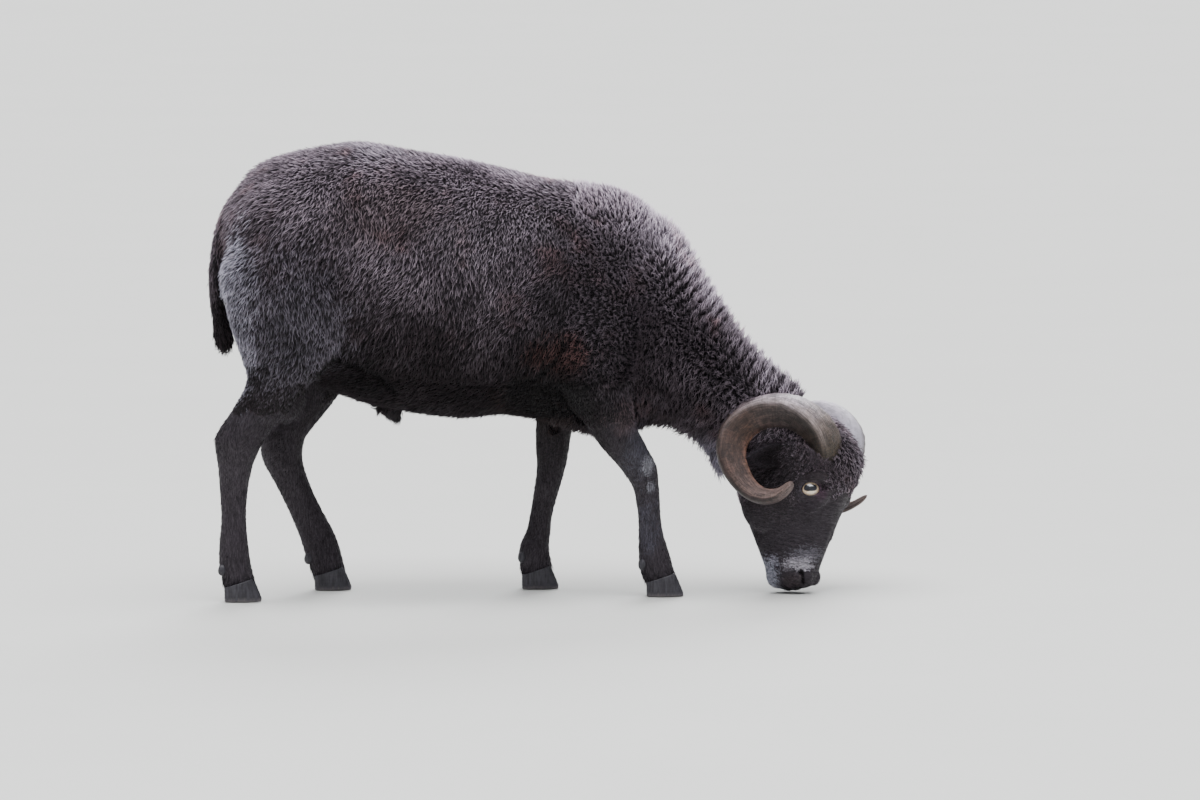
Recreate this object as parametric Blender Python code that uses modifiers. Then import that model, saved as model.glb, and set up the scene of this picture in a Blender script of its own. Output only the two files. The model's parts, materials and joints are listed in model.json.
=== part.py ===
"""A grazing Ouessant ram, shorn some weeks ago, as a still life-size model.

Metres, +Z up. The ram faces +X and its left is +Y. The origin lies on the floor under the middle of the animal.
The flesh is lofted through named sections, blended, and then parted into nodes by thin seams.
"""

import math
import random
from collections import namedtuple

import bmesh
import bpy
from mathutils import Matrix, Vector
from mathutils.bvhtree import BVHTree

# Gap kept between touching nodes, and the wider one kept round horns, ears, eyes and tail
SEAM = 0.0003
SOCKET_GAP = 0.0004

# How finely the blended flesh is made, and how many triangles are kept of it
BODY_GRAIN = 0.005
BODY_TRIANGLES = 2600
HEAD_GRAIN = 0.0026
HEAD_TRIANGLES = 1600
COAT_TRIANGLES = 9500

# How far the flesh is smoothed after it is blended
BODY_SMOOTHING = 3
HEAD_SMOOTHING = 2

# Where there is no fleece: on the hind leg below the stifle, which starts behind, below and outside these
THIGH_FRONT = -0.190
THIGH_TOP = 0.330
THIGH_INSIDE = 0.030
STIFLE_HEIGHT = 0.262
# on the foreleg below the elbow
ARM_BACK = -0.030
ARM_FRONT = 0.118
ARM_INSIDE = 0.030
ELBOW_HEIGHT = 0.222
# on the purse and the sheath, and under the brisket
PURSE_FRONT = -0.225
PURSE_TOP = 0.265
PURSE_HALF_WIDTH = 0.045
SHEATH_FRONT = -0.135
SHEATH_TOP = 0.204
SHEATH_HALF_WIDTH = 0.020
BRISKET_FRONT = 0.165
BRISKET_HEIGHT = 0.172
# and past the seam of the head by the two ends below, above and under this height
POLL_HEIGHT = 0.205
# Fleece grows from the trunk's to the neck's spacing and height from here on, over this length
NECK_FROM = 0.085
NECK_BLEND = 0.060
# The crown's wool: above, inside and ahead of these, low on the forehead and high on the poll
CROWN_BOTTOM = 0.010
CROWN_HALF_WIDTH = 0.034
CROWN_POLL_UP = 0.040
CROWN_BROW = 0.020
CROWN_BACK = -0.010
# How many places are tried for clumps, and how near they may stand, as a share of their spacing
CLUMP_TRIES = 14000
CLUMP_NEAREST = 0.86

# Fleece clumps: spacing from centre to centre, height above the flesh
BARREL_SPACING = 0.052
NECK_SPACING = 0.037
NECK_FLEECE_END = 0.045
THROAT_FLEECE_END = 0.008
THIGH_SPACING = 0.042
CROWN_SPACING = 0.021
BARREL_RISE = 0.0065
NECK_RISE = 0.009
THIGH_RISE = 0.005
CROWN_RISE = 0.006
CLUMP_SIDES = 9
CLUMP_BANDS = 6
CLUMP_SEED = 11
# Locks of longer hair: under the throat, and the tuft of the tail
LOCK_STEPS = 4
LOCK_SIDES = 4
LOCK_BEND = 0.12
LOCK_TIP = 0.0006
RUFF_ROWS = 4
RUFF_LOCKS = 6
RUFF_FROM = Vector((0.225, -0.011, 0.168))
RUFF_TO = Vector((0.256, -0.011, 0.118))
RUFF_WAY = Vector((-0.80, 0, -0.60))
RUFF_LIE = Vector((-0.50, 0, -0.86))
RUFF_SPREAD = math.radians(66)
RUFF_LENGTH = 0.035
RUFF_HALF_WIDTH = 0.0105
RUFF_LIFT = 0.85
RUFF_SEED = 5
TUFT_LOCKS = 7
TUFT_LENGTH = 0.024
TUFT_SEED = 3
# How far the flesh of each fleeced part lies inside its outline
FLEECE_CORE = {"trunk": 0.0060, "neck": 0.0085, "haunch": 0.0040}

# Head pose: turned towards the ram's right, leaned over, and pitched nose down
HEAD_CENTRE = Vector((0.2735, -0.010, 0.1133))
HEAD_TURN = math.radians(27)
HEAD_LEAN = math.radians(9.5)
HEAD_PITCH = math.radians(4)

# Horn: a coil about a centre on the side of the head, in the head's own directions
HORN_CENTRE_FORWARD = 0.005
HORN_CENTRE_UP = 0.028
HORN_START = math.radians(-12)
HORN_TURN = math.radians(319)
HORN_COIL_RADIUS = 0.0495
HORN_PINCH = 0.0115
HORN_PINCH_AT = math.radians(212)
HORN_PINCH_WIDTH = math.radians(52)
HORN_FLARE = 0.0012
HORN_DIVE = 0.014
HORN_DIVE_UNTIL = math.radians(36)
HORN_ROOT_OUT = 0.025
HORN_COIL_OUT = 0.058
HORN_FULLY_OUT = math.radians(210)
HORN_TIP_OUT = 0.010
HORN_FLARE_FROM = math.radians(250)
HORN_THICKNESS = 0.0182
HORN_TIP_THICKNESS = 0.0040
HORN_TAPER_FROM = math.radians(120)
HORN_RIDGE = 0.09
HORN_RIDGE_AT = math.radians(35)
HORN_RINGS = 28
HORN_SIDES = 10

# Ear: a cupped leaf that looks out through the coil of the horn
EAR_ROOT = (0.014, 0.032, 0.036)
EAR_TIP = (-0.019, 0.021, 0.078)
EAR_FACE = (0.62, -0.40, 0.65)
EAR_HALF_WIDTH = 0.0130
EAR_WALL = 0.0034
EAR_CUP = 0.0065
EAR_RINGS = 7
EAR_STEPS = 4

# Eye: its middle in the head's own directions, its ball, and the almond that the lids leave open
EYE_PLACE = (0.0400, -0.0085, 0.0425)
EYE_LOOK = (0.28, 0.06, 0.95)
EYE_RADIUS = 0.0115
EYE_HALF_LENGTH = 0.0101
EYE_HALF_HEIGHT = 0.0077
LID_THICKNESS = 0.0022
ORBIT_RADIUS = 0.0200

# Nostril and mouth: lines on the muzzle, as forward, up and out in the head's own directions
NOSTRIL = (
    (0.0150, -0.0935, 0.0180),
    (0.0172, -0.0965, 0.0160),
    (0.0165, -0.1010, 0.0130),
    (0.0168, -0.1052, 0.0100),
    (0.0185, -0.1080, 0.0058),
)
NOSTRIL_RADIUS = 0.0031
NOSTRIL_DEPTH = 0.0007
MOUTH = (
    (-0.0110, -0.0800, 0.0240),
    (-0.0091, -0.0828, 0.0239),
    (-0.0063, -0.0883, 0.0236),
    (-0.0060, -0.0946, 0.0230),
    (-0.0044, -0.1021, 0.0214),
    (-0.0032, -0.1082, 0.0165),
    (-0.0025, -0.1100, 0.0080),
    (-0.0020, -0.1106, 0.0),
)
MOUTH_RADIUS = 0.0016
MOUTH_DEPTH = 0.0003

# Hoof: each foot has two claws
CLAW_HALF_WIDTH = 0.0082
CLAW_OFFSET = 0.0078
CLAW_LENGTH = 0.0400
CLAW_SIDES = 12
CORONET_HEEL = 0.0150
CORONET_TOE = 0.0245
TOE_RAKE = 0.010
DEWCLAW_HEIGHT = 0.034
DEWCLAW_RADIUS = 0.0043

Trunk = namedtuple("Trunk", "x top bottom half_width widest")
Nape = namedtuple("Nape", "top_x top_z bottom_x bottom_z half_width y")
Skull = namedtuple("Skull", "up front back half_width")
Limb = namedtuple("Limb", "z back front y half_width")
Dock = namedtuple("Dock", "x z half_thickness half_width")
Foot = namedtuple("Foot", "heel y")
LegCut = namedtuple("LegCut", "back front rake inner_y inner_z slope")
NeckCut = namedtuple("NeckCut", "x z lean")

TRUNK = (
    Trunk(-0.329, 0.405, 0.325, 0.022, 0.365),
    Trunk(-0.322, 0.430, 0.292, 0.055, 0.365),
    Trunk(-0.303, 0.455, 0.262, 0.080, 0.370),
    Trunk(-0.271, 0.473, 0.240, 0.094, 0.370),
    Trunk(-0.208, 0.485, 0.214, 0.103, 0.360),
    Trunk(-0.176, 0.4855, 0.203, 0.104, 0.350),
    Trunk(-0.131, 0.477, 0.194, 0.108, 0.335),
    Trunk(-0.080, 0.468, 0.188, 0.111, 0.320),
    Trunk(-0.034, 0.457, 0.191, 0.109, 0.315),
    Trunk(0.010, 0.446, 0.183, 0.102, 0.310),
    Trunk(0.050, 0.440, 0.171, 0.092, 0.310),
    Trunk(0.085, 0.434, 0.170, 0.082, 0.300),
    Trunk(0.115, 0.415, 0.180, 0.068, 0.290),
    Trunk(0.140, 0.380, 0.205, 0.045, 0.290),
)
NECK = (
    Nape(0.070, 0.420, 0.060, 0.190, 0.076, 0.000),
    Nape(0.138, 0.400, 0.100, 0.178, 0.078, 0.000),
    Nape(0.181, 0.336, 0.132, 0.180, 0.066, -0.001),
    Nape(0.220, 0.278, 0.160, 0.172, 0.055, -0.003),
    Nape(0.252, 0.245, 0.178, 0.158, 0.049, -0.005),
    Nape(0.281, 0.221, 0.192, 0.134, 0.046, -0.007),
    Nape(0.297, 0.190, 0.212, 0.110, 0.040, -0.008),
)
SKULL = (
    Skull(-0.1106, 0.010, -0.015, 0.0110),
    Skull(-0.1085, 0.0195, -0.0235, 0.0170),
    Skull(-0.1018, 0.0258, -0.0295, 0.0218),
    Skull(-0.0883, 0.0303, -0.0316, 0.0240),
    Skull(-0.0718, 0.0373, -0.0382, 0.0250),
    Skull(-0.0536, 0.0455, -0.0455, 0.0285),
    Skull(-0.0343, 0.0538, -0.0530, 0.0360),
    Skull(-0.0161, 0.0621, -0.0600, 0.0430),
    Skull(-0.0002, 0.0695, -0.0600, 0.0465),
    Skull(0.0157, 0.0735, -0.0540, 0.0470),
    Skull(0.0283, 0.0730, -0.0450, 0.0465),
    Skull(0.0470, 0.0630, -0.0400, 0.0440),
    Skull(0.0630, 0.0460, -0.0360, 0.0380),
    Skull(0.0760, 0.0220, -0.0260, 0.0240),
)
HIND_RIGHT = (
    Limb(0.410, -0.302, -0.215, -0.045, 0.034),
    Limb(0.360, -0.334, -0.175, -0.058, 0.046),
    Limb(0.310, -0.331, -0.176, -0.064, 0.048),
    Limb(0.256, -0.314, -0.212, -0.066, 0.041),
    Limb(0.232, -0.311, -0.240, -0.066, 0.034),
    Limb(0.203, -0.326, -0.263, -0.064, 0.027),
    Limb(0.179, -0.342, -0.284, -0.061, 0.023),
    Limb(0.164, -0.3435, -0.294, -0.059, 0.020),
    Limb(0.142, -0.341, -0.303, -0.057, 0.0168),
    Limb(0.116, -0.3395, -0.308, -0.056, 0.0138),
    Limb(0.088, -0.3385, -0.310, -0.056, 0.0128),
    Limb(0.059, -0.341, -0.308, -0.056, 0.0150),
    Limb(0.036, -0.341, -0.305, -0.056, 0.0165),
    Limb(0.010, -0.335, -0.298, -0.056, 0.0160),
)
HIND_LEFT = (
    Limb(0.410, -0.292, -0.205, 0.045, 0.034),
    Limb(0.360, -0.330, -0.165, 0.058, 0.046),
    Limb(0.310, -0.322, -0.160, 0.064, 0.048),
    Limb(0.256, -0.298, -0.180, 0.066, 0.041),
    Limb(0.232, -0.284, -0.197, 0.066, 0.035),
    Limb(0.213, -0.276, -0.210, 0.064, 0.029),
    Limb(0.193, -0.279, -0.226, 0.062, 0.025),
    Limb(0.176, -0.290, -0.240, 0.060, 0.022),
    Limb(0.161, -0.298, -0.250, 0.058, 0.020),
    Limb(0.140, -0.297, -0.252, 0.057, 0.0168),
    Limb(0.115, -0.284, -0.245, 0.056, 0.0140),
    Limb(0.086, -0.270, -0.232, 0.056, 0.0130),
    Limb(0.059, -0.259, -0.218, 0.056, 0.0150),
    Limb(0.037, -0.252, -0.2115, 0.056, 0.0165),
    Limb(0.010, -0.2425, -0.2055, 0.056, 0.0160),
)
FORE_RIGHT = (
    Limb(0.370, 0.020, 0.100, -0.043, 0.028),
    Limb(0.320, 0.002, 0.118, -0.058, 0.033),
    Limb(0.270, 0.006, 0.114, -0.065, 0.034),
    Limb(0.232, 0.020, 0.104, -0.064, 0.031),
    Limb(0.210, 0.038, 0.102, -0.061, 0.028),
    Limb(0.182, 0.053, 0.107, -0.058, 0.025),
    Limb(0.159, 0.069, 0.118, -0.055, 0.021),
    Limb(0.139, 0.086, 0.128, -0.052, 0.0185),
    Limb(0.120, 0.099, 0.130, -0.050, 0.0172),
    Limb(0.107, 0.103, 0.131, -0.049, 0.0158),
    Limb(0.083, 0.106, 0.132, -0.048, 0.0130),
    Limb(0.064, 0.106, 0.135, -0.047, 0.0130),
    Limb(0.045, 0.106, 0.141, -0.046, 0.0150),
    Limb(0.030, 0.107, 0.1445, -0.046, 0.0165),
    Limb(0.010, 0.1145, 0.152, -0.046, 0.0160),
)
FORE_LEFT = (
    Limb(0.370, 0.000, 0.085, 0.043, 0.028),
    Limb(0.320, -0.012, 0.104, 0.058, 0.033),
    Limb(0.270, -0.014, 0.095, 0.065, 0.034),
    Limb(0.232, -0.009, 0.074, 0.064, 0.031),
    Limb(0.205, -0.004, 0.052, 0.061, 0.027),
    Limb(0.181, -0.002, 0.040, 0.058, 0.024),
    Limb(0.152, -0.003, 0.035, 0.055, 0.021),
    Limb(0.131, -0.002, 0.031, 0.052, 0.0182),
    Limb(0.107, -0.005, 0.024, 0.050, 0.0165),
    Limb(0.079, -0.010, 0.016, 0.048, 0.0130),
    Limb(0.062, -0.014, 0.014, 0.047, 0.0130),
    Limb(0.047, -0.021, 0.012, 0.046, 0.0150),
    Limb(0.031, -0.022, 0.0135, 0.046, 0.0165),
    Limb(0.010, -0.0185, 0.0185, 0.046, 0.0160),
)
LIMBS = {
    "hindleg_right": HIND_RIGHT,
    "hindleg_left": HIND_LEFT,
    "foreleg_right": FORE_RIGHT,
    "foreleg_left": FORE_LEFT,
}
TAIL = (
    Dock(-0.300, 0.438, 0.0090, 0.018),
    Dock(-0.318, 0.423, 0.0088, 0.017),
    Dock(-0.331, 0.400, 0.0082, 0.016),
    Dock(-0.339, 0.371, 0.0072, 0.014),
    Dock(-0.3425, 0.345, 0.0068, 0.013),
    Dock(-0.341, 0.318, 0.0075, 0.0135),
    Dock(-0.3365, 0.292, 0.0090, 0.014),
    Dock(-0.334, 0.276, 0.0095, 0.013),
    Dock(-0.333, 0.266, 0.0050, 0.007),
)
# Where each foot stands
FEET = {
    "hindleg_right": Foot(-0.3350, -0.056),
    "hindleg_left": Foot(-0.2415, 0.056),
    "foreleg_right": Foot(0.1150, -0.046),
    "foreleg_left": Foot(-0.0185, 0.046),
}
# The seam of each leg: its block from back to front at floor level, leaned by rake, with a slanted top.
# They are taken in this order, so that a thigh is what its leg leaves.
LEG_CUTS = {
    "hindleg_right": LegCut(-0.420, -0.232, 0.0, 0.030, 0.235, 0.0),
    "hindleg_left": LegCut(-0.420, -0.199, 0.0, 0.030, 0.226, 0.0),
    "foreleg_right": LegCut(0.060, 0.168, -0.24, 0.011, 0.172, 0.45),
    "foreleg_left": LegCut(-0.055, 0.060, 0.16, 0.011, 0.172, 0.45),
    "thigh_right": LegCut(-0.420, -0.195, 0.0, 0.026, 0.240, 1.2),
    "thigh_left": LegCut(-0.420, -0.188, 0.0, 0.026, 0.240, 1.2),
}
# The seams across the neck: a point of each and how far its plane leans, taken in this order
NECK_CUTS = {
    "head": NeckCut(0.2120, 0.1890, 44),
    "neck": NeckCut(0.1220, 0.3000, 4),
}
CUT_REACH = 0.40
CUT_DEPTH = 0.60
# Scrotum and sheath, as x, z, half length, half width
SCROTUM = (
    Dock(-0.262, 0.262, 0.0240, 0.024),
    Dock(-0.266, 0.236, 0.0190, 0.022),
    Dock(-0.269, 0.214, 0.0230, 0.028),
    Dock(-0.271, 0.196, 0.0190, 0.024),
    Dock(-0.272, 0.186, 0.0080, 0.010),
)
SHEATH = (
    Dock(-0.165, 0.216, 0.0140, 0.014),
    Dock(-0.158, 0.201, 0.0115, 0.011),
    Dock(-0.152, 0.192, 0.0085, 0.0075),
    Dock(-0.147, 0.185, 0.0050, 0.0045),
)

COAT = {
    "fleece": ((0.030, 0.025, 0.026), 0.95),
    "short_hair": ((0.022, 0.020, 0.022), 0.85),
    "horn": ((0.235, 0.175, 0.135), 0.60),
    "hoof": ((0.035, 0.032, 0.033), 0.55),
    "eye": ((0.620, 0.500, 0.330), 0.15),
}

# Which coat a node wears, by the first word of its name; the rest has short hair
SLOTS = {
    "torso": "fleece",
    "neck": "fleece",
    "thigh": "fleece",
    "horn": "horn",
    "hoof": "hoof",
    "eye": "eye",
}


def smooth_stations(stations, steps):
    """The stations with steps - 1 more between each two, on a Catmull-Rom curve through every field."""
    kind = type(stations[0])
    padded = (stations[0], *stations, stations[-1])
    found = []
    for before, start, end, after in zip(padded, padded[1:], padded[2:], padded[3:]):
        for step in range(steps):
            t = step / steps
            fields = []
            for a, b, c, d in zip(before, start, end, after):
                bend = (2 * a - 5 * b + 4 * c - d) * t + (3 * b - a - 3 * c + d) * t * t
                fields.append(0.5 * (2 * b + (c - a) * t + bend * t))
            found.append(kind(*fields))
    found.append(stations[-1])
    return found


def ring(centre, across, up, half_width, rise, drop, sides=20, fullness=2.0):
    """Points of an egg-shaped section: rise above the centre and drop below it."""
    points = []
    for index in range(sides):
        turn = math.tau * index / sides
        x, y = math.sin(turn), math.cos(turn)
        x = math.copysign(abs(x) ** (2 / fullness), x) * half_width
        y = math.copysign(abs(y) ** (2 / fullness), y) * (rise if y > 0 else drop)
        points.append(centre + across * x + up * y)
    return points


def new_object(name, mesh, collection):
    obj = bpy.data.objects.new(name, mesh)
    collection.objects.link(obj)
    return obj


def loft(name, rings, collection):
    """A closed skin through rings of as many points each, with flat ends."""
    form = bmesh.new()
    loops = [[form.verts.new(point) for point in points] for points in rings]
    for near, far in zip(loops, loops[1:]):
        for index in range(len(near)):
            after = (index + 1) % len(near)
            form.faces.new((near[index], near[after], far[after], far[index]))
    form.faces.new(list(reversed(loops[0])))
    form.faces.new(loops[-1])
    bmesh.ops.recalc_face_normals(form, faces=form.faces)
    bmesh.ops.triangulate(form, faces=form.faces)
    mesh = bpy.data.meshes.new(name)
    form.to_mesh(mesh)
    form.free()
    return new_object(name, mesh, collection)


def trunk_form(collection):
    core = FLEECE_CORE["trunk"]
    rings = []
    for s in smooth_stations(TRUNK, 3):
        centre = Vector((s.x, 0, s.widest))
        rings.append(
            ring(
                centre,
                Vector((0, 1, 0)),
                Vector((0, 0, 1)),
                s.half_width - core,
                s.top - s.widest - core,
                s.widest - s.bottom - core,
                28,
                2.15,
            )
        )
    return loft("trunk", rings, collection)


def neck_form(collection):
    core = FLEECE_CORE["neck"]
    rings = []
    for s in smooth_stations(NECK, 3):
        top = Vector((s.top_x, s.y, s.top_z))
        bottom = Vector((s.bottom_x, s.y, s.bottom_z))
        half = (top - bottom).length / 2 - core
        up = (top - bottom).normalized()
        middle = (top + bottom) / 2
        rings.append(ring(middle, Vector((0, 1, 0)), up, s.half_width - core * 0.7, half, half, 24))
    return loft("neck_form", rings, collection)


def limb_form(name, stations, collection):
    """A leg from flat sections, drawn in by the fleece's depth above the stifle or elbow."""
    rings = []
    for s in smooth_stations(stations, 3):
        core = FLEECE_CORE["haunch"] * min(1, max(0, (s.z - 0.20) / 0.05))
        centre = Vector(((s.back + s.front) / 2, s.y, s.z))
        half = (s.front - s.back) / 2 - core
        rings.append(ring(centre, Vector((0, 1, 0)), Vector((1, 0, 0)), s.half_width - core, half, half, 18))
    return loft(name, rings, collection)


def hanging_form(name, stations, collection, sides=14, steps=2):
    """A tail, sheath or purse: sections across a curve in the plane of symmetry."""
    dense = smooth_stations(stations, steps)
    rings = []
    for index, s in enumerate(dense):
        before = dense[max(0, index - 1)]
        after = dense[min(len(dense) - 1, index + 1)]
        along = Vector((after.x - before.x, 0, after.z - before.z)).normalized()
        across = Vector((0, 1, 0))
        centre = Vector((s.x, 0, s.z))
        thick = s.half_thickness
        rings.append(ring(centre, across, along.cross(across), s.half_width, thick, thick, sides))
    return loft(name, rings, collection)


def head_directions():
    """The head's own forward (forehead), up (poll) and right directions."""
    turn, lean, pitch = HEAD_TURN, HEAD_LEAN, HEAD_PITCH
    brow = Vector((math.cos(turn), -math.sin(turn), 0))
    left = Vector((math.sin(turn), math.cos(turn), 0))
    nose = Vector((0, 0, -1))
    leaned_left = left * math.cos(lean) + nose * math.sin(lean)
    leaned_nose = nose * math.cos(lean) - left * math.sin(lean)
    pitched_nose = leaned_nose * math.cos(pitch) + brow * math.sin(pitch)
    pitched_brow = brow * math.cos(pitch) - leaned_nose * math.sin(pitch)
    return pitched_brow, -pitched_nose, -leaned_left


HEAD_FORWARD, HEAD_UP, HEAD_RIGHT = head_directions()


def head_direction(forward, up, out, side):
    """side is 1 for the right of the head and -1 for the left."""
    return HEAD_FORWARD * forward + HEAD_UP * up + HEAD_RIGHT * (out * side)


def head_point(forward, up, out, side=1):
    return HEAD_CENTRE + head_direction(forward, up, out, side)


def head_form(collection):
    rings = []
    for s in smooth_stations(SKULL, 3):
        middle = s.front * 0.42 + s.back * 0.58
        rings.append(
            ring(
                head_point(middle, s.up, 0),
                HEAD_RIGHT,
                HEAD_FORWARD,
                s.half_width,
                s.front - middle,
                middle - s.back,
                26,
                2.1,
            )
        )
    return loft("head_form", rings, collection)


def ellipsoid(name, centre, axes, collection, sides=12, bands=8):
    """axes are three vectors, each as long as the half size that way."""
    form = bmesh.new()
    bmesh.ops.create_uvsphere(form, u_segments=sides, v_segments=bands, radius=1)
    columns = Matrix((axes[0], axes[1], axes[2])).transposed().to_4x4()
    bmesh.ops.transform(form, matrix=Matrix.Translation(centre) @ columns, verts=form.verts)
    if columns.determinant() < 0:
        bmesh.ops.reverse_faces(form, faces=form.faces)
    mesh = bpy.data.meshes.new(name)
    form.to_mesh(mesh)
    form.free()
    return new_object(name, mesh, collection)


def evaluated_copy(obj, name, collection):
    """A plain mesh object of what obj shows, in world space; obj is then removed."""
    bpy.context.view_layer.update()
    graph = bpy.context.evaluated_depsgraph_get()
    mesh = bpy.data.meshes.new_from_object(obj.evaluated_get(graph))
    mesh.transform(obj.matrix_world)
    bpy.data.objects.remove(obj)
    made = new_object(name, mesh, collection)
    weld(made)
    return made


def weld(obj, distance=0.00001):
    form = bmesh.new()
    form.from_mesh(obj.data)
    bmesh.ops.remove_doubles(form, verts=form.verts, dist=distance)
    bmesh.ops.triangulate(form, faces=form.faces)
    form.to_mesh(obj.data)
    form.free()


def swollen(obj, gap):
    """Moves the surface of obj out by the gap, so that it cuts a socket that clears the real thing."""
    form = bmesh.new()
    form.from_mesh(obj.data)
    form.normal_update()
    moves = [vert.normal * (gap * min(2.5, vert.calc_shell_factor())) for vert in form.verts]
    for vert, move in zip(form.verts, moves):
        vert.co += move
    form.to_mesh(obj.data)
    form.free()
    return obj


def joined(name, pieces, collection):
    """The pieces as one mesh of overlapping shells, for a blend that reads only their outer shape."""
    form = bmesh.new()
    for piece in pieces:
        form.from_mesh(piece.data)
        bpy.data.objects.remove(piece)
    mesh = bpy.data.meshes.new(name)
    form.to_mesh(mesh)
    form.free()
    return new_object(name, mesh, collection)


def thinned(obj, name, triangles, collection):
    """The same form with about that many triangles."""
    thin = obj.modifiers.new("thin", "DECIMATE")
    thin.ratio = min(1, triangles / len(obj.data.polygons))
    made = evaluated_copy(obj, name, collection)
    keep_largest(made)
    return made


def blended(name, pieces, grain, rounds, triangles, collection):
    """The pieces grown together into one smooth closed skin of about that many triangles."""
    obj = joined(name, pieces, collection)
    remesh = obj.modifiers.new("grow_together", "REMESH")
    remesh.mode = "VOXEL"
    remesh.voxel_size = grain
    soften = obj.modifiers.new("soften", "SMOOTH")
    soften.factor = 0.5
    soften.iterations = rounds
    split = obj.modifiers.new("split", "TRIANGULATE")
    split.quad_method = "BEAUTY"
    return thinned(evaluated_copy(obj, name, collection), name, triangles, collection)


def shell_volume(faces):
    """Six times the volume that the faces enclose."""
    total = 0
    for face in faces:
        a, b, c = (corner.vert.co for corner in face.loops)
        total += a.dot(b.cross(c))
    return total


def keep_largest(obj):
    """Keeps only the largest closed surface of the mesh."""
    form = bmesh.new()
    form.from_mesh(obj.data)
    bmesh.ops.triangulate(form, faces=form.faces)
    left = set(form.faces)
    shells = []
    while left:
        seed = left.pop()
        shell, edge_of_shell = [seed], [seed]
        while edge_of_shell:
            for edge in edge_of_shell.pop().edges:
                for face in edge.link_faces:
                    if face in left:
                        left.remove(face)
                        shell.append(face)
                        edge_of_shell.append(face)
        shells.append(shell)
    shells.sort(key=shell_volume)
    scraps = [face for shell in shells[:-1] for face in shell]
    if scraps:
        bmesh.ops.delete(form, geom=scraps, context="FACES")
        loose = [vert for vert in form.verts if not vert.link_faces]
        bmesh.ops.delete(form, geom=loose, context="VERTS")
        form.to_mesh(obj.data)
    form.free()


def combined(obj, operation, others, collection, solver="MANIFOLD"):
    """obj joined with, cut by or kept within the other objects, which are then removed."""
    name = obj.name
    helpers = bpy.data.collections.new(name + "_helpers")
    bpy.context.scene.collection.children.link(helpers)
    for other in others:
        for home in list(other.users_collection):
            home.objects.unlink(other)
        helpers.objects.link(other)
    boolean = obj.modifiers.new("join", "BOOLEAN")
    boolean.solver = solver
    boolean.operation = operation
    boolean.operand_type = "COLLECTION"
    boolean.collection = helpers
    made = evaluated_copy(obj, name, collection)
    for other in list(helpers.objects):
        bpy.data.objects.remove(other)
    bpy.data.collections.remove(helpers)
    return made


def duplicate(obj, name, collection):
    return new_object(name, obj.data.copy(), collection)


def horn_station(turned):
    """Middle and half thickness of the horn at this turn of its coil, in the head's directions."""
    pinch = math.exp(-(((turned - HORN_PINCH_AT) / HORN_PINCH_WIDTH) ** 2))
    share = turned / HORN_TURN
    early = max(0, HORN_DIVE_UNTIL - turned) / (HORN_DIVE_UNTIL - HORN_START)
    radius = HORN_COIL_RADIUS - HORN_PINCH * pinch + HORN_FLARE * share * share - HORN_DIVE * early**2
    along_coil = min(1, max(0, turned / HORN_FULLY_OUT))
    late = max(0, turned - HORN_FLARE_FROM) / (HORN_TURN - HORN_FLARE_FROM)
    out = HORN_ROOT_OUT + HORN_COIL_OUT * (1 - (1 - along_coil) ** 1.25) + HORN_TIP_OUT * late * late
    out -= HORN_DIVE * 0.2 * early**2
    worn = max(0, turned - HORN_TAPER_FROM) / (HORN_TURN - HORN_TAPER_FROM)
    thickness = HORN_TIP_THICKNESS + (HORN_THICKNESS - HORN_TIP_THICKNESS) * (1 - worn**1.4)
    forward = HORN_CENTRE_FORWARD + radius * math.cos(turned)
    up = HORN_CENTRE_UP + radius * math.sin(turned)
    return Vector((forward, up, out)), thickness


def horn_form(name, side, collection):
    """A tapering coil with a rounded three-sided section, whose ridge runs along the inside of the coil."""
    rings = []
    for index in range(HORN_RINGS + 1):
        turned = HORN_START + (HORN_TURN - HORN_START) * index / HORN_RINGS
        middle, thickness = horn_station(turned)
        before, _ = horn_station(turned - 0.02)
        after, _ = horn_station(turned + 0.02)
        along = (after - before).normalized()
        inward = Vector((HORN_CENTRE_FORWARD, HORN_CENTRE_UP, middle.z)) - middle
        inward = (inward - along * inward.dot(along)).normalized()
        outward = along.cross(inward)
        if index == HORN_RINGS:
            thickness *= 0.55
        points = []
        for corner in range(HORN_SIDES):
            around = math.tau * corner / HORN_SIDES
            reach = thickness * (1 + HORN_RIDGE * math.cos(3 * (around - HORN_RIDGE_AT)))
            local = middle + inward * (math.cos(around) * reach) + outward * (math.sin(around) * reach)
            points.append(head_point(*local, side))
        rings.append(points)
    return loft(name, rings, collection)


def ear_form(name, side, collection):
    """A leaf with a rounded tip, hollowed on its face, which looks towards the nose."""
    root, tip = head_point(*EAR_ROOT, side), head_point(*EAR_TIP, side)
    along = (tip - root).normalized()
    face = head_direction(*EAR_FACE, side)
    face = (face - along * face.dot(along)).normalized()
    across = along.cross(face)
    length = (tip - root).length
    rings = []
    for index in range(EAR_RINGS + 1):
        share = index / EAR_RINGS
        width = EAR_HALF_WIDTH * (0.62 + 0.38 * math.sin(math.pi * min(1, share / 0.9)))
        width *= math.sqrt(max(0.02, 1 - max(0, share - 0.35) ** 2 / 0.4225))
        cup = EAR_CUP * (0.25 + 0.75 * math.sin(math.pi * min(1, share * 1.1)))
        wall = EAR_WALL * (1.5 - 0.9 * share)
        middle = root + along * (length * share)
        points = []
        for step in range(EAR_STEPS + 1):
            reach = -1 + 2 * step / EAR_STEPS
            back = cup * (1 - reach * reach) + wall / 2
            points.append(middle + across * (reach * width) - face * back)
        for step in range(EAR_STEPS + 1):
            reach = 1 - 2 * step / EAR_STEPS
            hollow = cup * (1 - reach * reach) - wall / 2
            points.append(middle + across * (reach * width) - face * hollow)
        rings.append(points)
    return loft(name, rings, collection)


def eye_directions(side):
    look = head_direction(*EYE_LOOK, side).normalized()
    long_way = (HEAD_FORWARD - look * HEAD_FORWARD.dot(look)).normalized()
    return look, long_way, look.cross(long_way)


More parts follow.
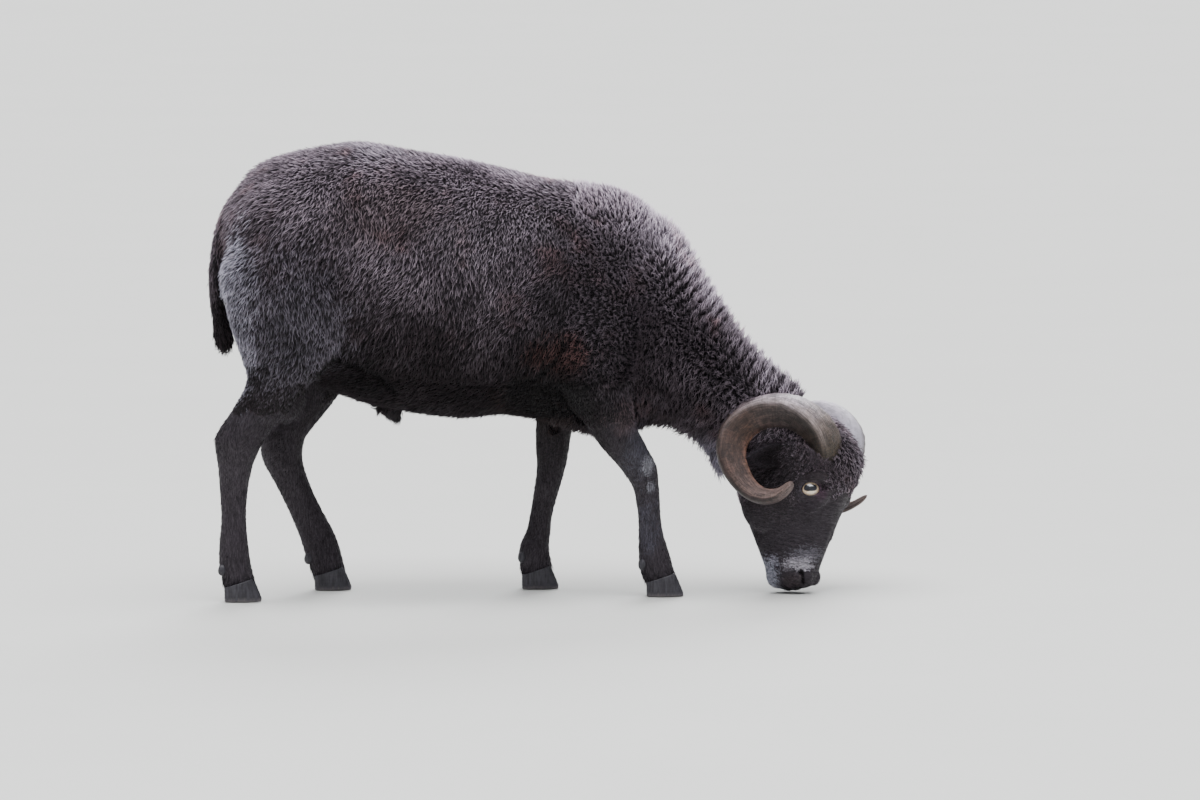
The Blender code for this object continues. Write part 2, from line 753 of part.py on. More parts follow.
def eye_centre(side):
    look, _, _ = eye_directions(side)
    return head_point(*EYE_PLACE, side) - look * EYE_RADIUS


def eyeball(name, side, collection, radius=EYE_RADIUS, sides=14, bands=8):
    look, long_way, high_way = eye_directions(side)
    axes = (long_way * radius, high_way * radius, look * radius)
    return ellipsoid(name, eye_centre(side), axes, collection, sides, bands)


def tube(name, points, radius, collection, resolution=1):
    """A round bar along the points, as a welded mesh."""
    curve = bpy.data.curves.new(name, "CURVE")
    curve.dimensions = "3D"
    curve.bevel_depth = radius
    curve.bevel_resolution = resolution
    curve.use_fill_caps = True
    line = curve.splines.new("POLY")
    line.points.add(len(points) - 1)
    for place, point in zip(line.points, points):
        place.co = (*point, 1)
    obj = evaluated_copy(new_object(name, curve, collection), name, collection)
    bpy.data.curves.remove(curve)
    form = bmesh.new()
    form.from_mesh(obj.data)
    bmesh.ops.recalc_face_normals(form, faces=form.faces)
    form.to_mesh(obj.data)
    form.free()
    return obj


def lid_cap(side, collection):
    """The closed lids: a thin skin over the front of the ball."""
    return eyeball("lids", side, collection, EYE_RADIUS + LID_THICKNESS)


def lid_opening(side, collection):
    """A short bar of almond section, which opens the lids along the look of the eye."""
    look, long_way, high_way = eye_directions(side)
    rings = []
    for reach in (EYE_RADIUS * 0.5, EYE_RADIUS * 1.6):
        points = []
        for index in range(16):
            turn = math.tau * index / 16
            x = EYE_HALF_LENGTH * math.cos(turn)
            y = EYE_HALF_HEIGHT * math.copysign(abs(math.sin(turn)) ** 1.25, math.sin(turn))
            points.append(eye_centre(side) + long_way * x + high_way * y + look * reach)
        rings.append(points)
    return loft("lid_opening", rings, collection)


def orbit(side, collection):
    look, long_way, high_way = eye_directions(side)
    centre = head_point(*EYE_PLACE, side) - look * (ORBIT_RADIUS * 0.92)
    axes = (long_way * ORBIT_RADIUS * 1.05, high_way * ORBIT_RADIUS, look * ORBIT_RADIUS * 0.92)
    return ellipsoid("orbit", centre, axes, collection)


def on_face(head, places, side, depth):
    """The places moved to the head's surface, and then in by the depth."""
    tree = BVHTree.FromObject(head, bpy.context.evaluated_depsgraph_get())
    points = []
    for place in places:
        point, normal, _, _ = tree.find_nearest(head_point(*place, side))
        points.append(point - normal * depth)
    return points


def nostril(head, side, collection):
    """A comma-shaped pit, its head up and out and its tail down and in."""
    return tube("nostril", on_face(head, NOSTRIL, side, NOSTRIL_DEPTH), NOSTRIL_RADIUS, collection, 2)


def mouth(head, collection):
    """The line between the lips, from one corner round the front to the other."""
    points = on_face(head, MOUTH, 1, MOUTH_DEPTH)
    points += reversed(on_face(head, MOUTH[:-1], -1, MOUTH_DEPTH))
    return tube("mouth", points, MOUTH_RADIUS, collection)


def coronet_height(x, heel):
    """How high the hair's edge lies above the sole, at x on a foot with this heel."""
    share = (x - heel) / (CLAW_LENGTH - TOE_RAKE)
    return CORONET_HEEL + (CORONET_TOE - CORONET_HEEL) * share


def claw(name, heel, y, inner, collection):
    """One half of a hoof: flat sole, upright flat inner wall and raked, rounded toe."""
    rings = []
    for level in (0, 0.5, 1):
        points = []
        front = heel + CLAW_LENGTH - TOE_RAKE * level
        middle, half = (front + heel) / 2, (front - heel) / 2
        for index in range(CLAW_SIDES):
            turn = math.tau * index / CLAW_SIDES
            x = math.cos(turn)
            height = coronet_height(middle + half * x, heel) * level
            narrow = 1 - 0.42 * max(0, x) ** 2
            reach = math.copysign(abs(math.sin(turn)) ** 0.8, math.sin(turn)) * narrow
            flat = 0.80 if math.sin(turn) * inner > 0 else 1
            width = CLAW_HALF_WIDTH * (1 - 0.08 * level)
            points.append(Vector((middle + half * x, y + reach * flat * width, height)))
        rings.append(points)
    return loft(name, rings, collection)


def dewclaws(stations, collection):
    """Two small horny knobs behind the fetlock."""
    near = min(stations, key=lambda s: abs(s.z - DEWCLAW_HEIGHT))
    knobs = []
    for side in (-1, 1):
        centre = Vector((near.back + 0.0042, near.y + side * 0.0088, DEWCLAW_HEIGHT))
        radius = DEWCLAW_RADIUS
        axes = (Vector((radius, 0, -0.002)), Vector((0, radius, 0)), Vector((0.002, 0, radius * 1.35)))
        knobs.append(ellipsoid("dewclaw", centre, axes, collection, 8, 5))
    return knobs


def beyond_seam(point, cut):
    """How far the point lies on the nose side of a seam across the neck."""
    lean = math.radians(cut.lean)
    return (point.x - cut.x) * math.cos(lean) - (point.z - cut.z) * math.sin(lean)


def fleece_here(point):
    """Spacing and rise of the clumps at a point of the body, or None where the hair is short."""
    x, out, z = point.x, abs(point.y), point.z
    on_thigh = x < THIGH_FRONT and z < THIGH_TOP and out > THIGH_INSIDE
    if on_thigh and z < STIFLE_HEIGHT:
        return None
    if ARM_BACK < x < ARM_FRONT and z < ELBOW_HEIGHT and out > ARM_INSIDE:
        return None
    if x < PURSE_FRONT and z < PURSE_TOP and out < PURSE_HALF_WIDTH:
        return None
    if x < SHEATH_FRONT and z < SHEATH_TOP and out < SHEATH_HALF_WIDTH:
        return None
    if x < BRISKET_FRONT and z < BRISKET_HEIGHT:
        return None
    end = NECK_FLEECE_END if z > POLL_HEIGHT else THROAT_FLEECE_END
    if beyond_seam(point, NECK_CUTS["head"]) > end:
        return None
    if on_thigh:
        return THIGH_SPACING, THIGH_RISE
    on_neck = min(1, max(0, (x - NECK_FROM) / NECK_BLEND))
    spacing = BARREL_SPACING + (NECK_SPACING - BARREL_SPACING) * on_neck
    return spacing, BARREL_RISE + (NECK_RISE - BARREL_RISE) * on_neck


def crown_here(point):
    """Spacing and rise of the wool on the forehead and poll, between the horns and above the eyes."""
    local = point - HEAD_CENTRE
    up, forward = local.dot(HEAD_UP), local.dot(HEAD_FORWARD)
    out = abs(local.dot(HEAD_RIGHT))
    edge = CROWN_BROW if up < CROWN_POLL_UP else CROWN_BACK
    if up < CROWN_BOTTOM or out > CROWN_HALF_WIDTH or forward < edge:
        return None
    return CROWN_SPACING, CROWN_RISE


def scattered(surface, rule, dice):
    """Points spread over the surface by the rule's spacing, each with the way it faces."""
    mesh = surface.data
    mesh.calc_loop_triangles()
    tree = BVHTree.FromPolygons(
        [vert.co for vert in mesh.vertices], [tuple(t.vertices) for t in mesh.loop_triangles]
    )
    triangles = list(mesh.loop_triangles)
    areas = [triangle.area for triangle in triangles]
    tries = dice.choices(triangles, weights=areas, k=CLUMP_TRIES)
    taken = []
    for triangle in tries:
        a, b, c = (mesh.vertices[index].co for index in triangle.vertices)
        u, v = dice.random(), dice.random()
        if u + v > 1:
            u, v = 1 - u, 1 - v
        point = a + (b - a) * u + (c - a) * v
        found = rule(point)
        if not found:
            continue
        spacing, rise = found
        if all((point - other).length > spacing * CLUMP_NEAREST for other, *_ in taken):
            _, normal, _, _ = tree.find_nearest(point)
            taken.append((point, normal, spacing, rise))
    return taken


def clump(index, place, dice, collection):
    """A low rounded tuft of wool, sunk into the flesh and wider than its neighbours' spacing."""
    point, normal, spacing, rise = place
    depth = rise * 2.1
    height = rise + depth
    wide = spacing * dice.uniform(0.82, 0.92)
    long = wide * dice.uniform(0.92, 1.08)
    rise_now = rise * dice.uniform(0.85, 1.0)
    across = normal.orthogonal().normalized()
    across = Matrix.Rotation(dice.uniform(0, math.tau), 3, normal) @ across
    along = normal.cross(across)
    centre = point + normal * (rise_now - height)
    axes = (across * wide, along * long, normal * height)
    return ellipsoid(f"clump_{index}", centre, axes, collection, CLUMP_SIDES, CLUMP_BANDS)


def clumps_on(surface, rule, seed, collection):
    dice = random.Random(seed)
    places = scattered(surface, rule, dice)
    return [clump(index, place, dice, collection) for index, place in enumerate(places)]


def lock(root, lie, face, length, width, collection):
    """A flat tapering lock of hair that leaves its root along lie and bends back towards face."""
    across = lie.cross(face).normalized()
    rings = []
    for step in range(LOCK_STEPS + 1):
        share = step / LOCK_STEPS
        middle = root + lie * (length * share) - face * (length * LOCK_BEND * share * share)
        half = width * (1 - share) ** 0.6 + LOCK_TIP
        thick = width * 0.42 * (1 - share) ** 0.8 + LOCK_TIP
        rings.append(ring(middle, across, face, half, thick, thick, LOCK_SIDES))
    return loft("lock", rings, collection)


def throat_locks(surface, collection):
    """The longer hair behind the jaw: rows of locks that hang back and down from the throat."""
    dice = random.Random(RUFF_SEED)
    tree = BVHTree.FromObject(surface, bpy.context.evaluated_depsgraph_get())
    locks = []
    for row in range(RUFF_ROWS):
        axis_point = RUFF_FROM.lerp(RUFF_TO, row / (RUFF_ROWS - 1))
        for index in range(RUFF_LOCKS):
            share = (index + 0.5 * (row % 2)) / (RUFF_LOCKS - 0.5)
            turn = RUFF_SPREAD * (2 * share - 1)
            away = RUFF_WAY * math.cos(turn) + Vector((0, math.sin(turn), 0))
            hit, normal, _, _ = tree.ray_cast(axis_point, away)
            lie = (RUFF_LIE - normal * (RUFF_LIE.dot(normal) - RUFF_LIFT)).normalized()
            face = (normal - lie * normal.dot(lie)).normalized()
            length = RUFF_LENGTH * dice.uniform(0.75, 1.1)
            width = RUFF_HALF_WIDTH * dice.uniform(0.85, 1.15)
            root = hit - normal * 0.004 - lie * 0.006
            locks.append(lock(root, lie, face, length, width, collection))
    return locks


def tail_locks(collection):
    """The tuft at the end of the tail."""
    dice = random.Random(TUFT_SEED)
    locks = []
    for index in range(TUFT_LOCKS):
        turn = math.tau * index / TUFT_LOCKS
        outward = Vector((-0.5 - 0.5 * math.cos(turn), math.sin(turn), 0))
        base = TAIL[-2]
        root = Vector((base.x, 0, base.z + 0.012)) + Vector((outward.x * 0.006, outward.y * 0.009, 0))
        lie = (Vector((0.10, 0, -1)) + outward * 0.22).normalized()
        face = (outward + Vector((-0.3, 0, 0)) - lie * (outward + Vector((-0.3, 0, 0))).dot(lie)).normalized()
        locks.append(lock(root, lie, face, TUFT_LENGTH * dice.uniform(0.85, 1.1), 0.0062, collection))
    return locks


def coat(obj, slot):
    """Gives the node its own material, and smooth shading with its real edges kept sharp."""
    colour, roughness = COAT[slot]
    material = bpy.data.materials.new(obj.name)
    material.use_nodes = True
    shader = material.node_tree.nodes["Principled BSDF"]
    shader.inputs["Base Color"].default_value = (*colour, 1)
    shader.inputs["Roughness"].default_value = roughness
    obj.data.materials.clear()
    obj.data.materials.append(material)
    obj.data.shade_smooth()
    obj.data.set_sharp_from_angle(angle=math.radians(50))


def leg_block(name, collection, grow=0.0):
    """A sheared box round one leg, with an upright inner face and a top that slants up outwards."""
    cut = LEG_CUTS[name]
    side = -1 if name.endswith("right") else 1
    form = bmesh.new()
    bmesh.ops.create_cube(form, size=1)
    for vert in form.verts:
        x, y, z = vert.co
        out = (y + 0.5) * CUT_REACH + (2 * y) * grow
        height = (z - 0.5) * CUT_DEPTH + (2 * z) * grow * 1.6
        level = cut.inner_z + out * cut.slope + height
        middle, half = (cut.front + cut.back) / 2, (cut.front - cut.back) / 2 + grow
        vert.co = (middle + 2 * x * half + cut.rake * level, side * (cut.inner_y + out), level)
    bmesh.ops.recalc_face_normals(form, faces=form.faces)
    mesh = bpy.data.meshes.new(name)
    form.to_mesh(mesh)
    form.free()
    return new_object(name + "_cut", mesh, collection)


def cut_box(name, collection, grow=0.0):
    """A box on the nose side of a seam across the neck."""
    cut = NECK_CUTS[name]
    lean = math.radians(cut.lean)
    ahead = Vector((math.cos(lean), 0, -math.sin(lean)))
    above = Vector((math.sin(lean), 0, math.cos(lean)))
    centre = Vector((cut.x, 0, cut.z)) + ahead * (CUT_REACH / 2)
    columns = Matrix((ahead * (CUT_REACH + 2 * grow), Vector((0, CUT_REACH, 0)), above * CUT_DEPTH))
    form = bmesh.new()
    bmesh.ops.create_cube(form, size=1)
    place = Matrix.Translation(centre) @ columns.transposed().to_4x4()
    bmesh.ops.transform(form, matrix=place, verts=form.verts)
    mesh = bpy.data.meshes.new(name)
    form.to_mesh(mesh)
    form.free()
    return new_object(name + "_cut", mesh, collection)


def parted(whole, name, block, cutters, collection):
    """The part of the whole inside the block, and the rest of it, a seam apart."""
    piece = duplicate(whole, name, collection)
    piece = combined(piece, "INTERSECT", [block(name, cutters)], collection)
    keep_largest(piece)
    rest = combined(whole, "DIFFERENCE", [block(name, cutters, SEAM)], collection)
    keep_largest(rest)
    return piece, rest


def coronet_block(foot, collection, grow=0.0):
    """A box under the slanted plane where the hair ends and the claws begin."""
    form = bmesh.new()
    bmesh.ops.create_cube(form, size=1)
    for vert in form.verts:
        x = foot.heel + CLAW_LENGTH * (0.5 + 2 * vert.co.x)
        top = coronet_height(x, foot.heel) + grow * 1.1
        vert.co = (x, foot.y + vert.co.y * CLAW_LENGTH * 1.5, top if vert.co.z > 0 else -CLAW_LENGTH)
    mesh = bpy.data.meshes.new("coronet")
    form.to_mesh(mesh)
    form.free()
    return new_object("coronet_cut", mesh, collection)


def finished_head(head, ram, cutters):
    """Opens the lids and cuts the sockets of eyes, horns and ears, the nostrils and the line of the mouth."""
    tools = [mouth(head, cutters)]
    for side in (1, -1):
        tools.append(swollen(eyeball("eye_socket", side, cutters), SOCKET_GAP))
        tools.append(lid_opening(side, cutters))
        tools.append(nostril(head, side, cutters))
        tools.append(swollen(horn_form("horn_socket", side, cutters), SOCKET_GAP))
        tools.append(swollen(ear_form("ear_socket", side, cutters), SOCKET_GAP))
    head = combined(head, "DIFFERENCE", tools, ram)
    keep_largest(head)
    return head


def main():
    for obj in list(bpy.data.objects):
        bpy.data.objects.remove(obj)
    ram = bpy.data.collections.new("ouessant_ram")
    cutters = bpy.data.collections.new("cutters")
    bpy.context.scene.collection.children.link(ram)
    bpy.context.scene.collection.children.link(cutters)

    pieces = [trunk_form(ram), neck_form(ram)]
    pieces += [limb_form(name, stations, ram) for name, stations in LIMBS.items()]
    pieces += [hanging_form("scrotum", SCROTUM, ram), hanging_form("sheath", SHEATH, ram)]
    body = blended("torso", pieces, BODY_GRAIN, BODY_SMOOTHING, BODY_TRIANGLES, ram)
    skull = [head_form(ram)]
    for side in (1, -1):
        skull += [orbit(side, ram), lid_cap(side, ram)]
    head = blended("head", skull, HEAD_GRAIN, HEAD_SMOOTHING, HEAD_TRIANGLES, ram)

    coat_forms = clumps_on(body, fleece_here, CLUMP_SEED, ram)
    coat_forms += clumps_on(head, crown_here, CLUMP_SEED, ram)
    knobs = [knob for stations in LIMBS.values() for knob in dewclaws(stations, ram)]
    whole = combined(body, "UNION", [head, *knobs], ram)
    coat_forms += throat_locks(whole, ram)
    whole = combined(whole, "UNION", coat_forms, ram)
    whole = thinned(whole, "torso", COAT_TRIANGLES, ram)

    nodes = {}
    for name in LEG_CUTS:
        nodes[name], whole = parted(whole, name, leg_block, cutters, ram)
    for name in NECK_CUTS:
        nodes[name], whole = parted(whole, name, cut_box, cutters, ram)
    for name, foot in FEET.items():
        leg = combined(nodes[name], "DIFFERENCE", [coronet_block(foot, cutters, SEAM)], ram)
        keep_largest(leg)
        nodes[name] = leg
        for claw_name, across in (("outer", 1), ("inner", -1)):
            side = -1 if name.endswith("right") else 1
            offset = side * across * CLAW_OFFSET
            label = f"hoof_{name.replace('leg', '')}_{claw_name}"
            nodes[label] = claw(label, foot.heel, foot.y + offset, -side * across, ram)

    nodes["head"] = finished_head(nodes["head"], ram, cutters)
    sockets = [swollen(horn_form("horn_socket", side, cutters), SOCKET_GAP) for side in (1, -1)]
    nodes["neck"] = combined(nodes["neck"], "DIFFERENCE", sockets, ram)
    keep_largest(nodes["neck"])
    tail_socket = swollen(hanging_form("tail_socket", TAIL, cutters), SOCKET_GAP)
    whole = combined(whole, "DIFFERENCE", [tail_socket], ram)
    keep_largest(whole)
    whole.name = "torso"
    nodes["torso"] = whole
    nodes["tail"] = combined(hanging_form("tail", TAIL, ram), "UNION", tail_locks(ram), ram)
    for word, side in (("right", 1), ("left", -1)):
        nodes[f"horn_{word}"] = horn_form(f"horn_{word}", side, ram)
        nodes[f"ear_{word}"] = ear_form(f"ear_{word}", side, ram)
        nodes[f"eye_{word}"] = eyeball(f"eye_{word}", side, ram)

    for name, node in nodes.items():
        coat(node, SLOTS.get(name.split("_")[0], "short_hair"))


if __name__ == "__main__":
    main()
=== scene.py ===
"""The looks of a still, life-size Ouessant ram: skin, fleece, hair, eyes, horns, hooves, and a plain stage.

Metres, +Z up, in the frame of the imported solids. The ram faces +X and its left is +Y.
The stations of the flesh are those that its solids were lofted through, so the skin lies inside them.
"""

import functools
import json
import math
from collections import namedtuple

import bmesh
import bpy
import numpy as np
from mathutils import Matrix, Vector
from mathutils.bvhtree import BVHTree
from mathutils.kdtree import KDTree

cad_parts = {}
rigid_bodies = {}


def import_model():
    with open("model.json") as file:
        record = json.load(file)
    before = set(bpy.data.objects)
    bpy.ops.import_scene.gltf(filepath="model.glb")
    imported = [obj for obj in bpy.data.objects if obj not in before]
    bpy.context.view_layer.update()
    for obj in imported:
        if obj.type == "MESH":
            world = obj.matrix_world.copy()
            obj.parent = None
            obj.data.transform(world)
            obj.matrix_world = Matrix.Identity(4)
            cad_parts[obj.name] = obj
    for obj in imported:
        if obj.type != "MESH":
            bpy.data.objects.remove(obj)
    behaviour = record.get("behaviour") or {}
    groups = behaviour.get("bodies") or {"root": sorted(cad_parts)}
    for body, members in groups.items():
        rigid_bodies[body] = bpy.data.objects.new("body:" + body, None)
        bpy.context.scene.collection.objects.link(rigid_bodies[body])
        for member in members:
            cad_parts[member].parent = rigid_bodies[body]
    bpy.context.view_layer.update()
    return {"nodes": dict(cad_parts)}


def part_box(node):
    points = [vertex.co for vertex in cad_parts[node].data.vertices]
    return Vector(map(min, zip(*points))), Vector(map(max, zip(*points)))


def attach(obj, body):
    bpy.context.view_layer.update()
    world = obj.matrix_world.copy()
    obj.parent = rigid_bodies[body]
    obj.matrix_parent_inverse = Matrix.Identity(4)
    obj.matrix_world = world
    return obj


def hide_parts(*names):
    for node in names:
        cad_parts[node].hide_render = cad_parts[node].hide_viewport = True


bl_info = {
    "name": "Ouessant ram",
    "version": (1, 0, 0),
    "blender": (4, 5, 0),
    "location": "3D View > Sidebar > Ram",
    "description": "Skin, fleece, hair, eyes, horns, hooves and stage of a life-size Ouessant ram",
    "category": "Object",
}

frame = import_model()

# How finely the flesh is made, and how far it is smoothed
BODY_GRAIN = 0.0030
BODY_SMOOTHING = 4
HEAD_GRAIN = 0.0012
SKIN_TRIANGLES = 185000
HEAD_SMOOTHING = 4
# Triangles of the coarse copy that is unwrapped for the tufts' patches
COARSE_TRIANGLES = 7000
TAIL_INSET = 0.0020
# How far the skin lies inside the outline: under the fleece, and under short hair
FLEECE_CORE = {"trunk": 0.0062, "neck": 0.0087, "haunch": 0.0042}
SHORT_HAIR_DEPTH = 0.0010

# Head pose: turned towards the ram's right, leaned over, and pitched nose down
HEAD_CENTRE = Vector((0.2735, -0.010, 0.1133))
HEAD_TURN = math.radians(27)
HEAD_LEAN = math.radians(9.5)
HEAD_PITCH = math.radians(4)

# Horn: a coil about a centre on the side of the head, in the head's own directions
HORN_CENTRE_FORWARD = 0.005
HORN_CENTRE_UP = 0.028
HORN_START = math.radians(-12)
HORN_TURN = math.radians(319)
HORN_COIL_RADIUS = 0.0495
HORN_PINCH = 0.0115
HORN_PINCH_AT = math.radians(212)
HORN_PINCH_WIDTH = math.radians(52)
HORN_FLARE = 0.0012
HORN_DIVE = 0.014
HORN_DIVE_UNTIL = math.radians(36)
HORN_ROOT_OUT = 0.025
HORN_COIL_OUT = 0.058
HORN_TIP_OUT = 0.010
HORN_FLARE_FROM = math.radians(250)
HORN_THICKNESS = 0.0182
HORN_TIP_THICKNESS = 0.0041
HORN_TAPER_FROM = math.radians(120)
FAR_TIP_WORN = 0.38
HORN_ROOT_NARROWED = 0.34
HORN_ROOT_SHARE = 0.07
HORN_BASE_WISPS = 2800
HORN_BASE_LOW = math.radians(5)
HORN_BASE_HIGH = math.radians(21)
HORN_RIDGE = 0.11
HORN_RINGS = 150
HORN_END_RINGS = 5
HORN_PROBE = 0.02
HORN_ATTRIBUTES = ("share", "inner", "keel", "edge", "coil", "pale")
HORN_SIDES = 44
HORN_KEEL = 0.06
HORN_KEEL_AT = math.radians(108)
HORN_KEEL_WIDTH = math.radians(10)
HORN_INNER_AT = math.radians(28)
HORN_EDGE_AT = math.radians(-12)
GROWTH_RING_SPACING = 0.0075
GROWTH_RING_DEPTH = 0.00032
HORN_LUMPS = 0.0003

# Ear: a cupped leaf that looks out through the coil of the horn
EAR_ROOT = (0.014, 0.032, 0.036)
EAR_TIP = (-0.019, 0.021, 0.078)
EAR_FACE = (0.62, -0.40, 0.65)
EAR_HALF_WIDTH = 0.0125
EAR_WALL = 0.0030
EAR_CUP = 0.0065
EAR_RINGS = 22
EAR_STEPS = 9

# Eye: its middle in the head's own directions, its ball, and the almond that the lids leave open
EYE_PLACE = (0.0400, -0.0085, 0.0425)
EYE_LOOK = (0.28, 0.06, 0.95)
EYE_RADIUS = 0.0115
EYE_HALF_LENGTH = 0.0101
EYE_HALF_HEIGHT = 0.0077
LID_THICKNESS = 0.0022
ORBIT_RADIUS = 0.0200
LID_RIM = 0.0010
LID_POINTS = 48
# Folds round the lids: how far outside the opening, height over the ball, radius, and above 1 or below -1
LID_FOLDS = ((0.0030, 0.0014, 0.0010, 1), (0.0026, 0.0011, 0.00085, -1), (0.0052, 0.0006, 0.0009, -1))
FOLD_CLEARANCE = 0.0012
SOCKET_GAP = 0.0002
PUPIL_HALF_LENGTH = 0.60
PUPIL_HALF_HEIGHT = 0.32
PUPIL_RISE = 0.10

# Nostril and mouth: lines on the muzzle, as forward, up and out in the head's own directions
NOSTRIL = (
    (0.0150, -0.0935, 0.0180), (0.0172, -0.0965, 0.0160), (0.0165, -0.1010, 0.0130),
    (0.0168, -0.1052, 0.0100), (0.0185, -0.1080, 0.0058),
)
NOSTRIL_RADII = (0.0032, 0.0038, 0.0034, 0.0026, 0.0014)
NOSTRIL_DEPTH = 0.0020
MOUTH = (
    (-0.0110, -0.0800, 0.0240), (-0.0091, -0.0828, 0.0239), (-0.0063, -0.0883, 0.0236),
    (-0.0060, -0.0946, 0.0230), (-0.0044, -0.1021, 0.0214), (-0.0032, -0.1082, 0.0165),
    (-0.0025, -0.1100, 0.0080), (-0.0020, -0.1106, 0.0),
)
MOUTH_RADIUS = 0.0011
MOUTH_DEPTH = 0.0002
LIP_RADIUS = 0.0034
# Each lip's way from the mouth's line: forward, up and in
LIPS = ((0.0042, 0.0010, 0.0030), (-0.0046, 0.0006, 0.0038))

# Soft relief of the head, as ellipsoids on each side: middle, and half sizes forward, up and out
HEAD_RELIEF = {
    "cheek": ((-0.0220, -0.0180, 0.0270), (0.0260, 0.0330, 0.0175)),
    "jaw": ((-0.0270, -0.0470, 0.0140), (0.0125, 0.0240, 0.0115)),
    "brow": ((0.0460, 0.0040, 0.0350), (0.0130, 0.0070, 0.0110)),
    "cheekbone": ((0.0280, -0.0260, 0.0290), (0.0160, 0.0080, 0.0090)),
    "bridge": ((0.0330, -0.0370, 0.0030), (0.0150, 0.0300, 0.0120)),
    "nostril_wing": ((0.0190, -0.0985, 0.0090), (0.0080, 0.0095, 0.0080)),
    "nostril_lobe": ((0.0125, -0.1010, 0.0155), (0.0066, 0.0066, 0.0068)),
    "chin": ((-0.0140, -0.0990, 0.0060), (0.0110, 0.0100, 0.0110)),
}

Trunk = namedtuple("Trunk", "x top bottom half_width widest")
Nape = namedtuple("Nape", "top_x top_z bottom_x bottom_z half_width y")
Skull = namedtuple("Skull", "up front back half_width")
Limb = namedtuple("Limb", "z back front y half_width")
Dock = namedtuple("Dock", "x z half_thickness half_width")
Foot = namedtuple("Foot", "heel y")
Mark = namedtuple("Mark", "space middle size colour amount")


def stations(kind, rows):
    """Rows of lengths in tenths of a millimetre, as records of this kind in metres."""
    return tuple(kind(*(value / 10000 for value in row)) for row in rows)


def marks(space, rows):
    """Marks from rows: middle and half sizes in tenths of a millimetre, colour and amount in thousandths."""
    found = []
    for row in rows:
        lengths = [value / 10000 for value in row[:6]]
        shares = [value / 1000 for value in row[6:]]
        found.append(Mark(space, lengths[:3], lengths[3:], shares[:3], shares[3]))
    return tuple(found)


TRUNK = stations(Trunk, (
    (-3290, 4050, 3250, 220, 3650), (-3220, 4300, 2920, 550, 3650), (-3030, 4550, 2620, 800, 3700),
    (-2710, 4730, 2400, 940, 3700), (-2080, 4850, 2140, 1030, 3600), (-1760, 4855, 2030, 1040, 3500),
    (-1310, 4770, 1940, 1080, 3350), (-800, 4680, 1880, 1110, 3200), (-340, 4570, 1910, 1090, 3150),
    (100, 4460, 1830, 1020, 3100), (500, 4400, 1710, 920, 3100), (850, 4340, 1700, 820, 3000),
    (1150, 4150, 1800, 680, 2900), (1400, 3800, 2050, 450, 2900),
))
NECK = stations(Nape, (
    (700, 4200, 600, 1900, 760, 0), (1380, 4000, 1000, 1780, 780, 0), (1810, 3360, 1320, 1800, 660, -10),
    (2200, 2780, 1600, 1720, 550, -30), (2520, 2450, 1780, 1580, 490, -50),
    (2810, 2210, 1920, 1340, 460, -70), (2970, 1900, 2120, 1100, 400, -80),
))
SKULL = stations(Skull, (
    (-1106, 100, -150, 110), (-1085, 195, -235, 170), (-1018, 258, -295, 218), (-883, 303, -316, 240),
    (-718, 373, -382, 250), (-536, 455, -455, 285), (-343, 538, -530, 360), (-161, 621, -600, 430),
    (-2, 695, -600, 465), (157, 735, -540, 470), (283, 730, -450, 465), (470, 630, -400, 440),
    (630, 460, -360, 380), (760, 220, -260, 240),
))
HIND_RIGHT = stations(Limb, (
    (4100, -3020, -2150, -450, 340), (3600, -3340, -1750, -580, 460), (3100, -3310, -1760, -640, 480),
    (2560, -3140, -2120, -660, 410), (2320, -3110, -2400, -660, 340), (2030, -3260, -2630, -640, 270),
    (1790, -3420, -2840, -610, 230), (1640, -3435, -2940, -590, 200), (1420, -3410, -3030, -570, 168),
    (1160, -3395, -3080, -560, 138), (880, -3385, -3100, -560, 128), (590, -3410, -3080, -560, 150),
    (360, -3410, -3050, -560, 165), (100, -3350, -2980, -560, 160),
))
HIND_LEFT = stations(Limb, (
    (4100, -2920, -2050, 450, 340), (3600, -3300, -1650, 580, 460), (3100, -3220, -1600, 640, 480),
    (2560, -2980, -1800, 660, 410), (2320, -2840, -1970, 660, 350), (2130, -2760, -2100, 640, 290),
    (1930, -2790, -2260, 620, 250), (1760, -2900, -2400, 600, 220), (1610, -2980, -2500, 580, 200),
    (1400, -2970, -2520, 570, 168), (1150, -2840, -2450, 560, 140), (860, -2700, -2320, 560, 130),
    (590, -2590, -2180, 560, 150), (370, -2520, -2115, 560, 165), (100, -2425, -2055, 560, 160),
))
FORE_RIGHT = stations(Limb, (
    (3700, 200, 1000, -430, 280), (3200, 20, 1180, -580, 330), (2700, 60, 1140, -650, 340),
    (2320, 200, 1040, -640, 310), (2100, 380, 1020, -610, 280), (1820, 530, 1070, -580, 250),
    (1590, 690, 1180, -550, 210), (1390, 860, 1280, -520, 185), (1200, 990, 1300, -500, 172),
    (1070, 1030, 1310, -490, 158), (830, 1060, 1320, -480, 130), (640, 1060, 1350, -470, 130),
    (450, 1060, 1410, -460, 150), (300, 1070, 1445, -460, 165), (100, 1145, 1520, -460, 160),
))
FORE_LEFT = stations(Limb, (
    (3700, 0, 850, 430, 280), (3200, -120, 1040, 580, 330), (2700, -140, 950, 650, 340),
    (2320, -90, 740, 640, 310), (2050, -40, 520, 610, 270), (1810, -20, 400, 580, 240),
    (1520, -30, 350, 550, 210), (1310, -20, 310, 520, 182), (1070, -50, 240, 500, 165),
    (790, -100, 160, 480, 130), (620, -140, 140, 470, 130), (470, -210, 120, 460, 150),
    (310, -220, 135, 460, 165), (100, -185, 185, 460, 160),
))
LIMBS = {
    "hindleg_right": HIND_RIGHT,
    "hindleg_left": HIND_LEFT,
    "foreleg_right": FORE_RIGHT,
    "foreleg_left": FORE_LEFT,
}
